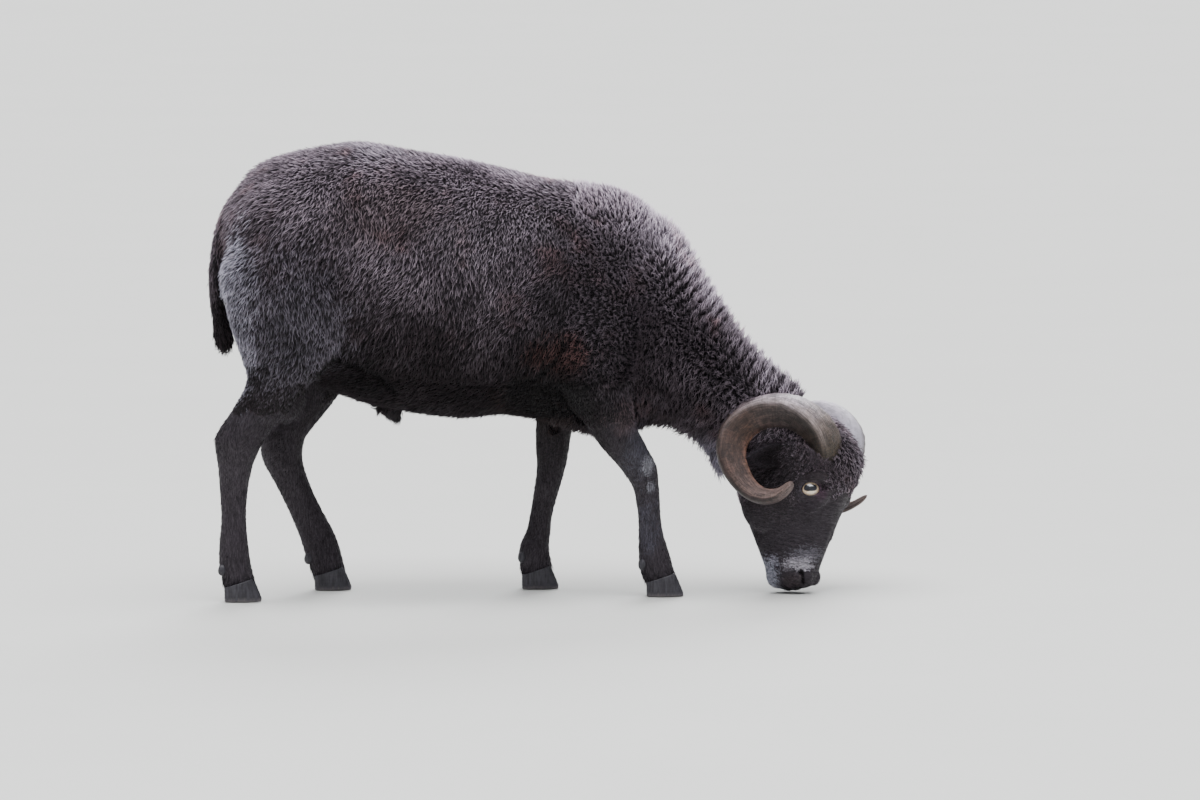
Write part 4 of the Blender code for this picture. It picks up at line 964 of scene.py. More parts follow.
def parts_of(points):
    """Which part of the coat grows at each point of the skin."""
    x, y, z = points.T
    ahead_of_shoulder = x + SHOULDER_SLANT * (WITHERS_HEIGHT - z) + RAGGED_BY * ripple(points, 90, 0.4)
    part = np.where(ahead_of_shoulder > SHOULDER_FROM, NECK_WOOL, BARREL)
    ragged = RAGGED_BY * ripple(points, 160, 1.9)
    for name in LIMBS:
        on_leg = on_limb(points, name, 0.004 + ragged)
        wool_from, hair_from = LEG_BORDERS[name.split("_")[0]]
        part[on_leg & (z < wool_from + ragged)] = THIGH_WOOL
        part[on_leg & (z < hair_from + ragged)] = LEG_HAIR
    part[(x < LOW_LEGS[0]) & (z < LOW_LEGS[1])] = LEG_HAIR
    part[(x < GROIN[0]) & (z < GROIN[1]) & (np.abs(y) < GROIN[2])] = SKIN_HAIR
    sheath = [(s.x, 0, s.z) for s in SHEATH]
    part[(z < SHEATH_BELOW) & (line_distance(points, sheath) < SHEATH_REACH)] = SKIN_HAIR
    tail = [(s.x, 0, s.z) for s in TAIL]
    part[(x < TAIL_BEHIND) & (line_distance(points, tail) < TAIL_REACH)] = TAIL_WOOL
    on_head = (x > HEAD_AHEAD) & (past_seam(points) > shifted(HEAD_PAST_SEAM, z))
    forward, up, right = head_places(points)
    side = np.abs(right)
    frayed = 0.007 * ripple(points, 190, 2.9) + 0.004 * ripple(points, 520, 0.7)
    crown = up > shifted(CROWN_DOWN_TO, forward) + frayed
    crown &= side < shifted(CROWN_OUT_TO, up) + frayed
    crown &= forward > shifted(CROWN_BACK_TO, up) + frayed
    above, behind, outside = COIL_BORDER
    coil = (up > above + frayed) & (forward < behind + frayed) & (side > outside)
    part[on_head] = FACE_HAIR
    part[on_head & coil] = COIL_WOOL
    part[on_head & crown] = CROWN_WOOL
    for way in (1, -1):
        ear = [head_point(*EAR_ROOT, way), head_point(*EAR_TIP, way)]
        part[on_head & (line_distance(points, ear) < EAR_REACH) & (side > EAR_OUTSIDE)] = EAR_HAIR
        eye = np.array(head_point(*EYE_PLACE, way))
        part[np.linalg.norm(points - eye, axis=1) < BARE_ROUND_EYE] = NOTHING
        pit = [head_point(*place, way) for place in NOSTRIL]
        part[line_distance(points, pit) < BARE_ROUND_NOSTRIL] = NOTHING
    return part


def ramped(values, low, high):
    """0 below low and 1 above high, eased between them."""
    share = np.clip((values - low) / (high - low), 0, 1)
    return share * share * (3 - 2 * share)


def grown_length(points, part):
    """How long the coat is at each point, as a share of its kind's full length."""
    x, _, z = points.T
    forward, up, right = head_places(points)
    if part == COIL_WOOL:
        return (0.30 + 0.70 * ramped(up, -0.024, 0.006)) * (0.40 + 0.60 * ramped(-forward, -0.032, -0.008))
    if part == NECK_WOOL:
        return 0.66 + 0.34 * ramped(x, 0.085, 0.150)
    if part == THIGH_WOOL:
        return 0.40 + 0.60 * np.where(x < -0.1, ramped(z, 0.200, 0.270), ramped(z, 0.180, 0.240))
    if part == CROWN_WOOL:
        edge = 0.50 + 0.50 * ramped(-np.abs(right), -0.044, -0.026)
        return edge * (0.28 + 0.72 * ramped(up, -0.012, 0.034))
    if part == LEG_HAIR:
        return 1.0 + 0.9 * ramped(-z, -0.033, -0.026) + 0.6 * ramped(z, 0.150, 0.185)
    if part == TAIL_WOOL:
        return 1.0 + 0.5 * ramped(-z, -0.300, -0.272)
    return np.ones(len(points))


def in_fold(points):
    """How deep in a crease of the hide each point lies, from 0 to 1."""
    flat = points * (1, 0, 1)
    deep = np.zeros(len(points))
    for fold in FOLDS:
        near = np.clip(1 - line_distance(flat, fold.line) / fold.width, 0, 1)
        deep = np.maximum(deep, near * fold.depth)
    return deep * (np.abs(points[:, 1]) > 0.03)


def in_hollow(points):
    """How deep in the hollow behind the elbow each point lies, from 0 to 1."""
    x, y, z = points.T
    middle_x, middle_z, half_length, half_height = HOLLOW
    across = ((x - middle_x) / half_length) ** 2 + ((z - middle_z) / half_height) ** 2
    return ramped(-across, -1.2, -0.35) * (np.abs(y) > 0.02) * (np.abs(y) < 0.094)


def short_haired(part):
    """1 where the hair is short and shows the skin's form, and 0 under wool."""
    return np.isin(part, SHORT_PARTS).astype(np.float32)


def unit(vectors):
    return vectors / np.maximum(np.linalg.norm(vectors, axis=-1, keepdims=True), 1e-9)


def vertex_places(mesh):
    places = np.zeros(len(mesh.vertices) * 3, np.float32)
    mesh.vertices.foreach_get("co", places)
    return places.reshape(-1, 3).astype(float)


def set_attribute(mesh, name, values):
    kind = "FLOAT_VECTOR" if np.ndim(values) == 2 else "FLOAT"
    field = "vector" if kind == "FLOAT_VECTOR" else "value"
    made = mesh.attributes.new(name, kind, "POINT")
    made.data.foreach_set(field, np.ravel(values).astype(np.float32))


def finished(obj, material, replaced=()):
    """Gives the piece its material and smooth shading, and lets it ride and stand for its nodes."""
    obj.data.materials.clear()
    obj.data.materials.append(material)
    obj.data.shade_smooth()
    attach(obj, BODY)
    if replaced:
        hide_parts(*replaced)
    return obj


class Hide:
    """The skin's triangles as arrays, and a coarse copy of it unwrapped flat."""

    def __init__(self, skin):
        mesh = skin.data
        mesh.calc_loop_triangles()
        count = len(mesh.loop_triangles)
        triangles = np.zeros(count * 3, np.int32)
        mesh.loop_triangles.foreach_get("vertices", triangles)
        triangles = triangles.reshape(-1, 3)
        places = vertex_places(mesh)
        normals = np.zeros(len(mesh.vertices) * 3, np.float32)
        mesh.vertices.foreach_get("normal", normals)
        self.corners = places[triangles]
        self.normals = normals.reshape(-1, 3).astype(float)[triangles]
        self.parts = parts_of(places)[triangles]
        ab, ac = self.corners[:, 1] - self.corners[:, 0], self.corners[:, 2] - self.corners[:, 0]
        self.areas = np.linalg.norm(np.cross(ab, ac), axis=1) / 2
        self.unwrap(skin)

    def unwrap(self, skin):
        coarse = placed("coarse_skin", skin.data.copy())
        modified(coarse, "thin", "DECIMATE", ratio=COARSE_TRIANGLES / max(1, len(self.areas)))
        coarse = applied(coarse, "coarse_skin")
        bpy.ops.object.select_all(action="DESELECT")
        bpy.context.view_layer.objects.active = coarse
        coarse.select_set(True)
        bpy.ops.object.mode_set(mode="EDIT")
        bpy.ops.mesh.select_all(action="SELECT")
        bpy.ops.uv.smart_project(angle_limit=math.radians(66), island_margin=0.004)
        bpy.ops.object.mode_set(mode="OBJECT")
        mesh = coarse.data
        mesh.calc_loop_triangles()
        flat = mesh.uv_layers.active.data
        coarse_faces = [tuple(triangle.vertices) for triangle in mesh.loop_triangles]
        self.coarse_corners = vertex_places(mesh)[np.array(coarse_faces)]
        self.coarse_flat = np.array([[flat[loop].uv for loop in t.loops] for t in mesh.loop_triangles])
        self.tree = BVHTree.FromPolygons([v.co for v in mesh.vertices], coarse_faces)
        bpy.data.objects.remove(coarse)

    def flat_places(self, points):
        """Where each point lies on the unwrapped skin."""
        faces = np.array([self.tree.find_nearest(point)[2] for point in points])
        a, b, c = (self.coarse_corners[faces, corner] for corner in range(3))
        ab, ac, ap = b - a, c - a, points - a
        d00, d01, d11 = (ab * ab).sum(1), (ab * ac).sum(1), (ac * ac).sum(1)
        d20, d21 = (ap * ab).sum(1), (ap * ac).sum(1)
        scale = np.maximum(d00 * d11 - d01 * d01, 1e-14)
        v = np.clip((d11 * d20 - d01 * d21) / scale, 0, 1)
        w = np.clip((d00 * d21 - d01 * d20) / scale, 0, 1)
        shares = np.stack([np.clip(1 - v - w, 0, 1), v, w], axis=1)
        return (self.coarse_flat[faces] * shares[:, :, None]).sum(axis=1)

    def sown(self, parts, spacing, seed, wanted=None):
        """Roots on these parts of the skin, about spacing apart, with the way the skin faces at each."""
        dice = np.random.default_rng(seed)
        near = np.isin(self.parts, parts).any(axis=1)
        areas = self.areas * near
        count = int(areas.sum() / spacing**2 * 3)
        which = np.searchsorted(np.cumsum(areas), dice.random(count) * areas.sum())
        shares = dice.random((count, 2))
        folded = shares.sum(axis=1) > 1
        shares[folded] = 1 - shares[folded]
        shares = np.column_stack([1 - shares.sum(axis=1), shares])
        points = (self.corners[which] * shares[:, :, None]).sum(axis=1)
        normals = unit((self.normals[which] * shares[:, :, None]).sum(axis=1))
        kept = np.isin(parts_of(points), parts)
        if wanted is not None:
            kept &= wanted(points)
        points, normals = points[kept], normals[kept]
        cells = np.floor(points / (spacing * 0.93)).astype(np.int64)
        keys = np.bitwise_xor.reduce(cells * CELL_PRIMES, axis=1)
        _, first = np.unique(keys, return_index=True)
        first.sort()
        return points[first], normals[first], dice


@made_once
def hide():
    skin = bpy.data.objects.get("ram_skin")
    if skin is None:
        raise RuntimeError("make the skin before its coat")
    return Hide(skin)


def ripple(points, scale, phase):
    """A smooth wandering value from -1 to 1."""
    x, y, z = (points * scale).T
    first = np.sin(x + 1.7 * np.sin(z * 0.71 + phase)) * np.cos(z * 0.9 + 1.3 * np.sin(y * 0.83))
    second = np.sin(y * 1.31 + z * 0.6 + phase * 2.1) * np.cos(x * 0.77 - phase)
    return (first + second) / 2


def lie_of(points, normals, part):
    """The way the coat lies at each point, along the skin."""
    flat = np.zeros_like(points)
    flat[:] = (-0.35, 0, -1)
    flat[:, 1] = 0.14 * np.tanh(points[:, 1] / 0.030)
    flat[:, 2] *= 1 - 0.85 * np.clip(normals[:, 2] * 1.6 - 0.6, 0, 1)
    below = normals[:, 2] < -0.55
    flat[below] = (-1, 0, -0.2)
    if part == NECK_WOOL:
        on_nape = np.clip(normals @ NAPE_ACROSS * 1.25, 0, 1)[:, None]
        flat = np.array((-0.62, 0, -0.78)) * (1 - on_nape) - NAPE_WAY * on_nape
    if part in (LEG_HAIR, THIGH_WOOL, TAIL_WOOL, SKIN_HAIR):
        flat[:] = (-0.14, 0, -1)
    if part in (FACE_HAIR, COIL_WOOL, CROWN_WOOL, EAR_HAIR):
        forward, up, rightward = HEAD_AXES
        _, _, right = head_places(points)
        away = np.tanh(right / 0.010)[:, None] * rightward
        if part == CROWN_WOOL:
            flat = forward * 0.35 - up * 0.9 + away * 0.45
        elif part == COIL_WOOL:
            flat = away * 0.3 - forward * 0.8 - up * 0.55
        elif part == EAR_HAIR:
            tips = [np.array(head_direction(*(Vector(EAR_TIP) - Vector(EAR_ROOT)), s)) for s in (1, -1)]
            flat = np.where(right[:, None] > 0, unit(tips[0]), unit(tips[1]))
        else:
            flat = away * 0.9 - forward * 0.55 + up * 0.25
    swirl = ripple(points, 42, 0.6) * 0.45 + ripple(points, 130, 2.2) * 0.25
    flat = unit(flat - normals * (flat * normals).sum(axis=1, keepdims=True))
    across = np.cross(normals, flat)
    return flat * np.cos(swirl)[:, None] + across * np.sin(swirl)[:, None]


def clumped(points, normals, clumps, dice):
    """The way from each root to its clump's middle, and how far inside its clump it stands, from 0 to 1."""
    way = np.array(clumps.way, float)
    flat = points - (points @ way)[:, None] * way * (1 - clumps.squeeze)
    order = dice.permutation(len(flat))
    cells = np.floor(flat[order] / clumps.spacing + dice.random(3)).astype(np.int64)
    _, first = np.unique(cells, axis=0, return_index=True)
    tree = KDTree(len(first))
    for index, middle in enumerate(flat[order[first]]):
        tree.insert(middle, index)
    tree.balance()
    own, inside = np.zeros(len(flat), int), np.zeros(len(flat))
    for index, place in enumerate(flat):
        (_, nearest, gap), (_, _, next_gap) = tree.find_n(place, 2)
        own[index] = nearest
        inside[index] = (next_gap - gap) / (clumps.spacing * CRACK_SHARE)
    count = np.maximum(np.bincount(own, minlength=len(first)), 1)
    sums = [np.bincount(own, points[:, axis], minlength=len(first)) / count for axis in range(3)]
    pull = np.stack(sums, axis=1)[own] - points
    pull -= normals * (pull * normals).sum(axis=1, keepdims=True)
    return pull, np.clip(inside, 0, 1), dice.random(len(first))[own]


def nape_rows(points):
    """How strongly the wool stands in rows across the nape, and each root's phase from row to row."""
    along = (points - NAPE_START) @ NAPE_WAY
    below = (NAPE_START - points) @ NAPE_ACROSS
    wander = ripple(points, 38, 1.1)
    strength = ramped(-below, -0.070, -0.025) * ramped(along, 0.05, 0.10)
    strength *= 0.70 + 0.75 * ripple(points, 70, 2.6)
    return np.clip(strength, 0, 1), math.tau * along / ROW_SPACING + 2.6 * wander


def wavy_lines(points):
    """Light and dark wavy lines across the face, stronger in some places than in others."""
    forward, up, _ = head_places(points)
    wander = 2.4 * ripple(points, 150, 0.9) + 1.1 * ripple(points, 420, 2.7)
    crest = np.sin(math.tau * (up + 0.25 * forward) / FACE_LINE_SPACING + wander)
    return crest * (0.34 + 0.24 * ripple(points, 120, 4.2)) + 0.20 * ripple(points, 95, 1.3)


def grown(parts, kind, seed, clumps=None, wanted=None):
    """Roots of wisps on these parts of the skin, in clumps, shorter in the cracks between them and painted
    darker there as shade.
    """
    points, normals, dice = hide().sown(parts, kind.spacing, seed, wanted)
    lies = lie_of(points, normals, parts[0])
    length = grown_length(points, parts[0])
    tone = 0.5 + 0.16 * ripple(points, 75, seed) + dice.normal(0, 0.17, len(points))
    pull = np.zeros_like(points)
    if clumps is not None:
        pull, inside, own = clumped(points, normals, clumps, dice)
        length = length * (1 - clumps.strength * (0.40 * (1 - inside) - 0.08))
        # Near the cracks the tone is lowered as painted shade; each clump's own tone differs at random
        tone += clumps.strength * (0.62 * (inside - 0.62) + 0.36 * (own - 0.5))
    if parts[0] == NECK_WOOL:
        rows, phase = nape_rows(points)
        gap = ramped(-np.cos(phase), 0.20, 0.95) * rows
        length = length * (1 - 0.06 * rows - 0.36 * gap)
        # Painted shade in the gaps between the nape's rows, and a little painted light on the rows
        # themselves
        tone += 0.26 + 0.10 * rows * np.cos(phase) - 0.50 * gap - 0.36 * rows
        pull -= NAPE_WAY * (np.sin(phase) * rows * ROW_PULL)[:, None]
    # In creases and the hollow behind the elbow the wool is shorter, and its tone is lowered as painted
    # shade
    if parts[0] in (BARREL, THIGH_WOOL, NECK_WOOL):
        deep = np.maximum(in_fold(points), 0.7 * in_hollow(points))
        length = length * (1 - 0.65 * deep)
        tone -= 0.9 * deep
    if parts[0] == LEG_HAIR:
        tone += 0.26 * ripple(points, 420, 3.3) + 0.12 * ripple(points, 900, 5.1)
    if parts[0] in (FACE_HAIR, EAR_HAIR):
        tone += wavy_lines(points)
    return Roots(points, normals, lies, length, np.clip(tone, 0, 1), pull), dice


def picked(roots, chosen):
    return Roots(*(values[chosen] for values in roots))


def tufted(name, roots, kind, dice):
    """Tufts as one mesh: each a thin three-sided closed wisp that bends from its root to its tip."""
    points, normals, lies = roots.points, roots.normals, roots.lies
    count, steps = len(points), kind.steps
    side = np.cross(normals, lies)
    long = kind.length * roots.length * dice.uniform(0.78, 1.12, count)
    rise = np.clip(kind.rise + dice.normal(0, 0.08, count), 0.02, 1)[:, None]
    droop = np.clip(kind.droop + dice.normal(0, 0.08, count), -0.1, 1)[:, None]
    sway = dice.normal(0, 0.22, count)[:, None]
    start = unit(normals * rise + (lies + side * sway) * (1 - rise))
    end = unit(normals * droop + (lies + side * sway) * (1 - droop))
    t = (np.arange(steps + 1) / steps)[None, :, None]
    reach = long[:, None, None]
    path = points[:, None] - normals[:, None] * kind.width * 0.6
    path = path + reach * (start[:, None] * (t - t * t / 2) + end[:, None] * (t * t / 2))
    phase = dice.uniform(0, math.tau, count)[:, None, None]
    if kind.wave:
        turn = math.tau * kind.waves * t + phase
        path = path + side[:, None] * (kind.wave * t * (np.sin(turn) - np.sin(phase)))
        path = path + lies[:, None] * (kind.wave * 0.6 * t * (np.cos(turn) - np.cos(phase)))
    path = path + roots.pull[:, None] * (kind.gather * t * t)
    along = unit(np.gradient(path, axis=1))
    twist = dice.uniform(0, math.tau, count)[:, None, None]
    first = unit(np.cross(along, side[:, None] + 0.3 * normals[:, None]))
    second = np.cross(along, first)
    widths = kind.width * dice.uniform(0.8, 1.2, count)[:, None, None]
    thick = widths * (1 - t[:, :steps] * 0.92) ** 0.75
    rings = []
    for corner in range(3):
        around = twist + math.tau * corner / 3
        across = first[:, :steps] * np.cos(around) + second[:, :steps] * np.sin(around)
        rings.append(path[:, :steps] + thick * across)
    body = np.stack(rings, axis=2).reshape(count, steps * 3, 3)
    places = np.concatenate([body, path[:, -1:]], axis=1)
    places[:, :, 2] = np.maximum(places[:, :, 2], LOWEST_HAIR)
    return tuft_object(name, places, steps, roots)


def tuft_faces(steps):
    """One tuft's triangles as corner numbers, with each corner's place round and along the tuft."""
    faces, flat = [(0, 2, 1)], [((0, 0), (2, 0), (1, 0))]
    for level in range(steps - 1):
        low, high = level * 3, level * 3 + 3
        for j in range(3):
            k = (j + 1) % 3
            faces += [(low + j, low + k, high + k), (low + j, high + k, high + j)]
            above = (j + 1, level + 1)
            flat += [((j, level), (j + 1, level), above), ((j, level), above, (j, level + 1))]
    last = (steps - 1) * 3
    for j in range(3):
        faces.append((last + j, last + (j + 1) % 3, steps * 3))
        flat.append(((j, steps - 1), (j + 1, steps - 1), (j + 0.5, steps)))
    return np.array(faces), np.array(flat, float) / (3, steps)


def tuft_object(name, places, steps, roots):
    count, corners = places.shape[:2]
    faces, flat = tuft_faces(steps)
    loops = (faces[None] + (np.arange(count) * corners)[:, None, None]).reshape(-1)
    mesh = bpy.data.meshes.new(name)
    mesh.vertices.add(count * corners)
    mesh.vertices.foreach_set("co", places.reshape(-1).astype(np.float32))
    mesh.loops.add(len(loops))
    mesh.loops.foreach_set("vertex_index", loops.astype(np.int32))
    mesh.polygons.add(len(loops) // 3)
    mesh.polygons.foreach_set("loop_start", np.arange(0, len(loops), 3, dtype=np.int32))
    mesh.update(calc_edges=True)
    levels = np.concatenate([np.repeat(np.arange(steps), 3), [steps]]) / steps
    set_attribute(mesh, "tip", np.tile(levels, count))
    set_attribute(mesh, "tone", np.repeat(roots.tone, corners))
    set_attribute(mesh, "short", np.repeat(short_haired(parts_of(roots.points)), corners))
    middles = hide().flat_places(roots.points)
    offsets = (flat.reshape(-1, 2) - 0.5) * PATCH
    uvs = np.repeat(middles, len(faces) * 3, axis=0) + np.tile(offsets, (count, 1))
    layer = mesh.uv_layers.new(name="OFBake")
    layer.data.foreach_set("uv", uvs.reshape(-1).astype(np.float32))
    return finished(placed(name, mesh), coat_material())


def fed(tree, made, inputs):
    """Gives the node's sockets values, or links them to other nodes' sockets."""
    for key, value in inputs.items():
        if isinstance(value, bpy.types.NodeSocket):
            tree.links.new(value, made.inputs[key])
        else:
            made.inputs[key].default_value = value
    return made


def node(tree, kind, inputs=None, **settings):
    """A shader node whose sockets are given values or linked to other nodes' sockets."""
    made = tree.nodes.new("ShaderNode" + kind)
    for key, value in settings.items():
        setattr(made, key, value)
    return fed(tree, made, inputs or {})


def maths(tree, operation, *values):
    return node(tree, "Math", dict(enumerate(values)), operation=operation).outputs[0]


def mixed(tree, share, first, second, blend="MIX"):
    made = node(tree, "Mix", {0: share, 6: first, 7: second}, data_type="RGBA", blend_type=blend)
    return made.outputs[2]


def eased(tree, value, low, high, start=0.0, end=1.0):
    """The value's way from low to high, eased and turned into start to end."""
    ends = {"Value": value, "From Min": low, "From Max": high, "To Min": start, "To Max": end}
    return node(tree, "MapRange", ends, interpolation_type="SMOOTHSTEP").outputs["Result"]


def noise(tree, vector, scale, detail=2.0, rough=0.5, distortion=0.0):
    ends = {"Vector": vector, "Scale": scale, "Detail": detail, "Roughness": rough, "Distortion": distortion}
    return node(tree, "TexNoise", ends).outputs["Fac"]


def drawn_noise(tree, vector, scales, detail, rough, distortion=0.0):
    """Noise with its own scale along each axis, and so drawn out along the axis of the smallest."""
    stretched = node(tree, "Mapping", {"Vector": vector, "Scale": scales}).outputs[0]
    return noise(tree, stretched, 1.0, detail, rough, distortion)


def split(tree, vector):
    return node(tree, "SeparateXYZ", {0: vector}).outputs


def joined(tree, *parts):
    return node(tree, "CombineXYZ", dict(enumerate(parts))).outputs[0]


def times(tree, first, second):
    return maths(tree, "MULTIPLY", first, second)


def tinted(tree, colour, shade):
    """The colour made lighter or darker by the shade."""
    grey = node(tree, "CombineColor", {index: shade for index in range(3)}).outputs[0]
    return mixed(tree, 1.0, colour, grey, "MULTIPLY")


def dress(tree, shader, bump, **ends):
    """Links these ends to the shader, and a bump of this height, strength and distance to its normal."""
    ends["Normal"] = node(tree, "Bump", dict(zip(("Height", "Strength", "Distance"), bump))).outputs[0]
    fed(tree, shader, {label.replace("_", " "): value for label, value in ends.items()})


def attribute(tree, name, output="Fac"):
    return node(tree, "Attribute", attribute_name=name).outputs[output]


def rgba(colour):
    return (*colour, 1)


def object_place(tree):
    return node(tree, "TexCoord").outputs["Object"]


def head_space(tree, place):
    """The place as forward, up and out from the middle plane, in the head's own directions."""
    columns = Matrix((HEAD_FORWARD, -HEAD_RIGHT, HEAD_UP)).transposed()
    turned = {"Vector": place, "Location": HEAD_CENTRE, "Rotation": columns.to_euler()}
    parts = split(tree, node(tree, "Mapping", turned, vector_type="TEXTURE").outputs[0])
    return joined(tree, parts[0], parts[2], maths(tree, "ABSOLUTE", parts[1]))


def group_tree(name, inputs, outputs):
    """A new shader node group with these sockets, and its two end nodes."""
    tree = bpy.data.node_groups.new(name, "ShaderNodeTree")
    for label, kind in inputs:
        tree.interface.new_socket(label, in_out="INPUT", socket_type="NodeSocket" + kind)
    for label, kind in outputs:
        tree.interface.new_socket(label, in_out="OUTPUT", socket_type="NodeSocket" + kind)
    return tree, tree.nodes.new("NodeGroupInput").outputs, tree.nodes.new("NodeGroupOutput")


def placed_group(tree, group, inputs):
    made = tree.nodes.new("ShaderNodeGroup")
    made.node_tree = group
    return fed(tree, made, inputs).outputs


def socket_label(name):
    return name.replace("_", " ").title()


@made_once
def markings():
    """The colours of the ram's coat at its roots and tips, the same for skin and coat, with painted top
    light, painted highlights and painted shade among them.
    """
    inputs = [("Short", "Float"), ("Tone", "Float")]
    inputs += [(socket_label(name), "Color") for name in COAT_COLOURS]
    tree, given, end = group_tree("ram_markings", inputs, [("Root", "Color"), ("Tip", "Color")])
    place = object_place(tree)
    parts = split(tree, place)
    mirrored = joined(tree, parts[0], maths(tree, "ABSOLUTE", parts[1]), parts[2])
    spaces = {"body": mirrored, "head": head_space(tree, place)}
    strewn = maths(tree, "MULTIPLY_ADD", given["Tone"], 0.9, -0.45)
    ragged = {}
    for space, scale, rough, width in (("body", 55, 0.6, 1.3), ("head", 260, 0.65, 1.5)):
        edge = maths(tree, "MULTIPLY_ADD", noise(tree, place, scale, 3, rough), width, -width / 2)
        ragged[space] = maths(tree, "SUBTRACT", edge, strewn)
    depths = []
    for at_zero, by_x, by_z in (BACK_LINE, NAPE_LINE):
        level = maths(tree, "MULTIPLY_ADD", parts[0], -by_x, at_zero)
        depths.append(maths(tree, "MULTIPLY_ADD", parts[2], -by_z, level))
    wide = maths(tree, "MULTIPLY_ADD", noise(tree, place, 13, 4, 0.62), 0.16, -0.08)
    depth = maths(tree, "ADD", maths(tree, "SMOOTH_MIN", *depths, 0.03), wide)
    depth = maths(tree, "SUBTRACT", depth, times(tree, strewn, 0.06))
    # Tips light on the back and dark low down: partly sun-bleaching, partly painted top light and painted
    # shade
    weathered = eased(tree, depth, DARK_FROM, BLEACHED_TO)
    fleece = mixed(tree, weathered, given["Fleece Tip"], given["Bleached Tip"])
    # Painted highlight along the top edge of the back and nape
    frosted = eased(tree, depth, FROST_FROM, FROST_TO, 0.0, FROST_AMOUNT)
    fleece = mixed(tree, frosted, fleece, rgba(FROST))
    rusty = eased(tree, noise(tree, place, 19, 3, 0.6), 0.54, 0.74, 0.0, 0.75)
    fleece = mixed(tree, rusty, fleece, rgba(RUST_TINT), "MULTIPLY")
    tip = mixed(tree, given["Short"], fleece, given["Hair Tip"])
    for mark in MARKS:
        turned = {"Vector": spaces[mark.space], "Location": mark.middle, "Scale": mark.size}
        reach = node(tree, "Mapping", turned, vector_type="TEXTURE").outputs[0]
        length = node(tree, "VectorMath", {0: reach}, operation="LENGTH").outputs["Value"]
        length = maths(tree, "ADD", length, ragged[mark.space])
        tip = mixed(tree, eased(tree, length, 1.30, 0.55, 0.0, mark.amount), tip, rgba(mark.colour))
    root = mixed(tree, given["Short"], given["Fleece Root"], given["Hair Root"])
    root = mixed(tree, eased(tree, given["Short"], 0, 1, 0.05, 0.26), root, tip)
    fed(tree, end, {"Root": root, "Tip": tip})
    return tree


@made_once
def hair_streaks():
    """Fine streaks of flat hair: down the legs, and across the face in wavy lines."""
    outputs = [("Streak", "Float"), ("Height", "Float")]
    tree, given, end = group_tree("hair_streaks", [("Face", "Float")], outputs)
    place = object_place(tree)
    legs = drawn_noise(tree, place, (900, 900, 90), 4, 0.62, 0.5)
    face = drawn_noise(tree, head_space(tree, place), (130, 780, 130), 4, 0.62, 1.4)
    streak = node(tree, "Mix", {0: given["Face"], 2: legs, 3: face}).outputs[0]
    height = maths(tree, "MULTIPLY_ADD", noise(tree, place, 1500, 2, 0.5), 0.3, streak)
    fed(tree, end, {"Streak": eased(tree, streak, 0.36, 0.70), "Height": height})
    return tree


def new_material(name, roughness, **settings):
    material = bpy.data.materials.new(name)
    material.use_nodes = True
    shader = material.node_tree.nodes["Principled BSDF"]
    shader.inputs["Roughness"].default_value = roughness
    for label, value in settings.items():
        shader.inputs[label.replace("_", " ")].default_value = value
    return material, material.node_tree, shader


def coat_colours(tree, short, tone):
    given = bpy.context.scene.ram_colours
    inputs = {socket_label(name): rgba(getattr(given, name)) for name in COAT_COLOURS}
    return placed_group(tree, markings(), {"Short": short, "Tone": tone, **inputs})


@made_once
def skin_material():
    looks = {"Sheen_Weight": 0.05, "Sheen_Roughness": 0.4, "Specular_IOR_Level": 0.28}
    material, tree, shader = new_material("ram_skin", 0.62, **looks)
    short = attribute(tree, "short")
    strewn = eased(tree, noise(tree, object_place(tree), 620, 2, 0.6), 0.30, 0.70)
    colours = coat_colours(tree, short, strewn)
    streaks = placed_group(tree, hair_streaks(), {"Face": attribute(tree, "face")})
    shown = times(tree, streaks["Streak"], eased(tree, short, 0.1, 0.9, 0.10, 0.90))
    colour = mixed(tree, shown, colours["Root"], colours["Tip"])
    roughness = eased(tree, streaks["Streak"], 0, 1, 0.70, 0.46)
    dress(tree, shader, (streaks["Height"], 0.7, 0.0012), Base_Color=colour, Roughness=roughness)
    return material


@made_once
def coat_material():
    looks = {"Sheen_Weight": 0.05, "Sheen_Roughness": 0.5, "Specular_IOR_Level": 0.16}
    material, tree, shader = new_material("ram_coat", 0.72, Sheen_Tint=(0.90, 0.90, 1.0, 1), **looks)
    tone = attribute(tree, "tone")
    colours = coat_colours(tree, attribute(tree, "short"), tone)
    tip = maths(tree, "POWER", attribute(tree, "tip"), 1.5)
    colour = mixed(tree, tip, colours["Root"], colours["Tip"])
    # Each wisp is made lighter or darker by its tone: at random, and darker as painted shade in cracks,
    # creases and gaps
    colour = tinted(tree, colour, eased(tree, tone, 0.05, 0.95, 0.28, 2.1))
    fibres = noise(tree, object_place(tree), 1400, 2, 0.6)
    roughness = eased(tree, fibres, 0.3, 0.7, 0.60, 0.84)
    dress(tree, shader, (fibres, 0.3, 0.0005), Base_Color=colour, Roughness=roughness)
    return material


def ramp(tree, value, stops):
    """Colours along a value, from rows of a place, red, green and blue in thousandths."""
    made = node(tree, "ValToRGB", {"Fac": value})
    while len(made.color_ramp.elements) < len(stops):
        made.color_ramp.elements.new(0.5)
    for element, stop in zip(made.color_ramp.elements, stops):
        element.position, *colour = (number / 1000 for number in stop)
        element.color = rgba(colour)
    return made.outputs["Color"]


